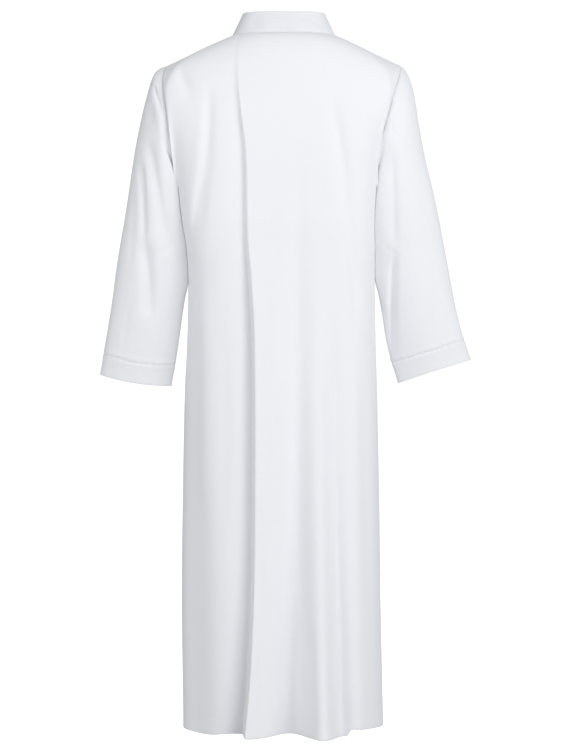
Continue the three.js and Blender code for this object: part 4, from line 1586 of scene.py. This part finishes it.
@dataclass
class Studio:
    """The camera, the soft lights and the pale floor with its backdrop, in metres."""

    distance: float = 4.5
    eye_height: float = -0.659
    lens: float = 110.77
    sensor: float = 36.0
    aim_height: float = -0.55
    floor: float = -1.43
    radius: float = 8.0
    bend: float = 2.0
    wall_top: float = 5.0
    bend_rows: int = 17
    around: int = 64
    sky: float = 0.38
    sky_colour: tuple[float, float, float, float] = (0.93, 0.955, 1.0, 1.0)

    def camera(self) -> None:
        """A level camera that looks at the garment's back."""
        data = bpy.data.cameras.new("camera")
        data.lens = self.lens
        data.sensor_width = self.sensor
        view = bpy.data.objects.new("camera", data)
        view.location = (0.0, self.distance, self.eye_height)
        view.rotation_euler = (math.pi / 2, 0.0, math.pi)
        bpy.context.scene.collection.objects.link(view)
        bpy.context.scene.camera = view

    def light(self, lamp: Lamp) -> None:
        """A square soft light that faces the middle of the garment."""
        data = bpy.data.lights.new(lamp.name, "AREA")
        data.size = lamp.size
        data.energy = lamp.watts
        made = bpy.data.objects.new(lamp.name, data)
        made.location = lamp.place
        aim = Vector((0.0, 0.0, self.aim_height)) - Vector(lamp.place)
        made.rotation_euler = aim.to_track_quat("-Z", "Y").to_euler()
        made.visible_camera = False
        bpy.context.scene.collection.objects.link(made)

    def backdrop(self) -> None:
        """The floor and the round wall: one profile turned round.

        The profile is flat, bends up by a quarter circle and stands upright. The backdrop only shows,
        and throws no light of its own back on the cloth.
        """
        turn = np.linspace(0.0, math.pi / 2, self.bend_rows)
        flat = self.radius - self.bend
        out = np.concatenate([[0.2, 1.0, 3.0], flat + self.bend * np.sin(turn), [self.radius]])
        z = np.concatenate([[0.0] * 3, self.bend * (1.0 - np.cos(turn)), [self.wall_top]]) + self.floor
        around = 2 * math.pi * np.arange(self.around) / self.around
        x, y = (out[:, None] * part(around)[None] for part in (np.cos, np.sin))
        rings = np.stack([x, y, np.broadcast_to(z[:, None], x.shape)], -1).reshape(-1, 3)
        r, c = np.arange(len(out) - 1)[:, None] * self.around, np.arange(self.around)[None]
        beside = (c + 1) % self.around
        quads = np.stack([r + c, r + self.around + c, r + self.around + beside, r + beside], -1)
        mesh = bpy.data.meshes.new("backdrop")
        mesh.from_pydata(rings.tolist(), [], quads.reshape(-1, 4).tolist() + [list(range(self.around))])
        mesh.polygons.foreach_set("use_smooth", np.ones(len(mesh.polygons), bool))
        mesh.materials.append(FloorFinish().material())
        sheet = bpy.data.objects.new("backdrop", mesh)
        sheet.visible_diffuse = sheet.visible_glossy = sheet.visible_shadow = False
        bpy.context.scene.collection.objects.link(sheet)

    def build(self) -> None:
        """Sets up the whole studio."""
        self.camera()
        for lamp in LAMPS:
            self.light(lamp)
        self.backdrop()
        world = bpy.data.worlds.new("sky")
        world.use_nodes = True
        ground = world.node_tree.nodes["Background"]
        ground.inputs["Color"].default_value = self.sky_colour
        ground.inputs["Strength"].default_value = self.sky
        bpy.context.scene.world = world
        bpy.context.scene.view_settings.view_transform = "Standard"


def main() -> None:
    """Builds the studio and then each piece of the garment."""
    logging.basicConfig(level=logging.INFO, format="%(name)s: %(message)s")
    Studio().build()
    form = BodyForm()
    cloth, thread = ClothFinish().material(), ThreadFinish().material()
    # The collar's cloth is a darker copy of the weave: painted shade on the collar.
    band = ClothFinish("white_weave_collar_painted_shade", (0.80, 0.80, 0.82, 1.0), (0.765, 0.767, 0.79, 1.0)).material()
    pieces = (
        BackPanel(form, cloth),
        FrontPanel(form, cloth, side=Side.LEFT),
        FrontPanel(form, cloth, side=Side.RIGHT),
        Sleeve(form, cloth, thread, side=Side.LEFT),
        Sleeve(form, cloth, thread, side=Side.RIGHT),
        Collar(form, band),
    )
    for piece in pieces:
        made = piece.build()
        LOG.info("%s: %d faces", made.name, len(made.data.polygons))


if __name__ == "__main__":
    main()
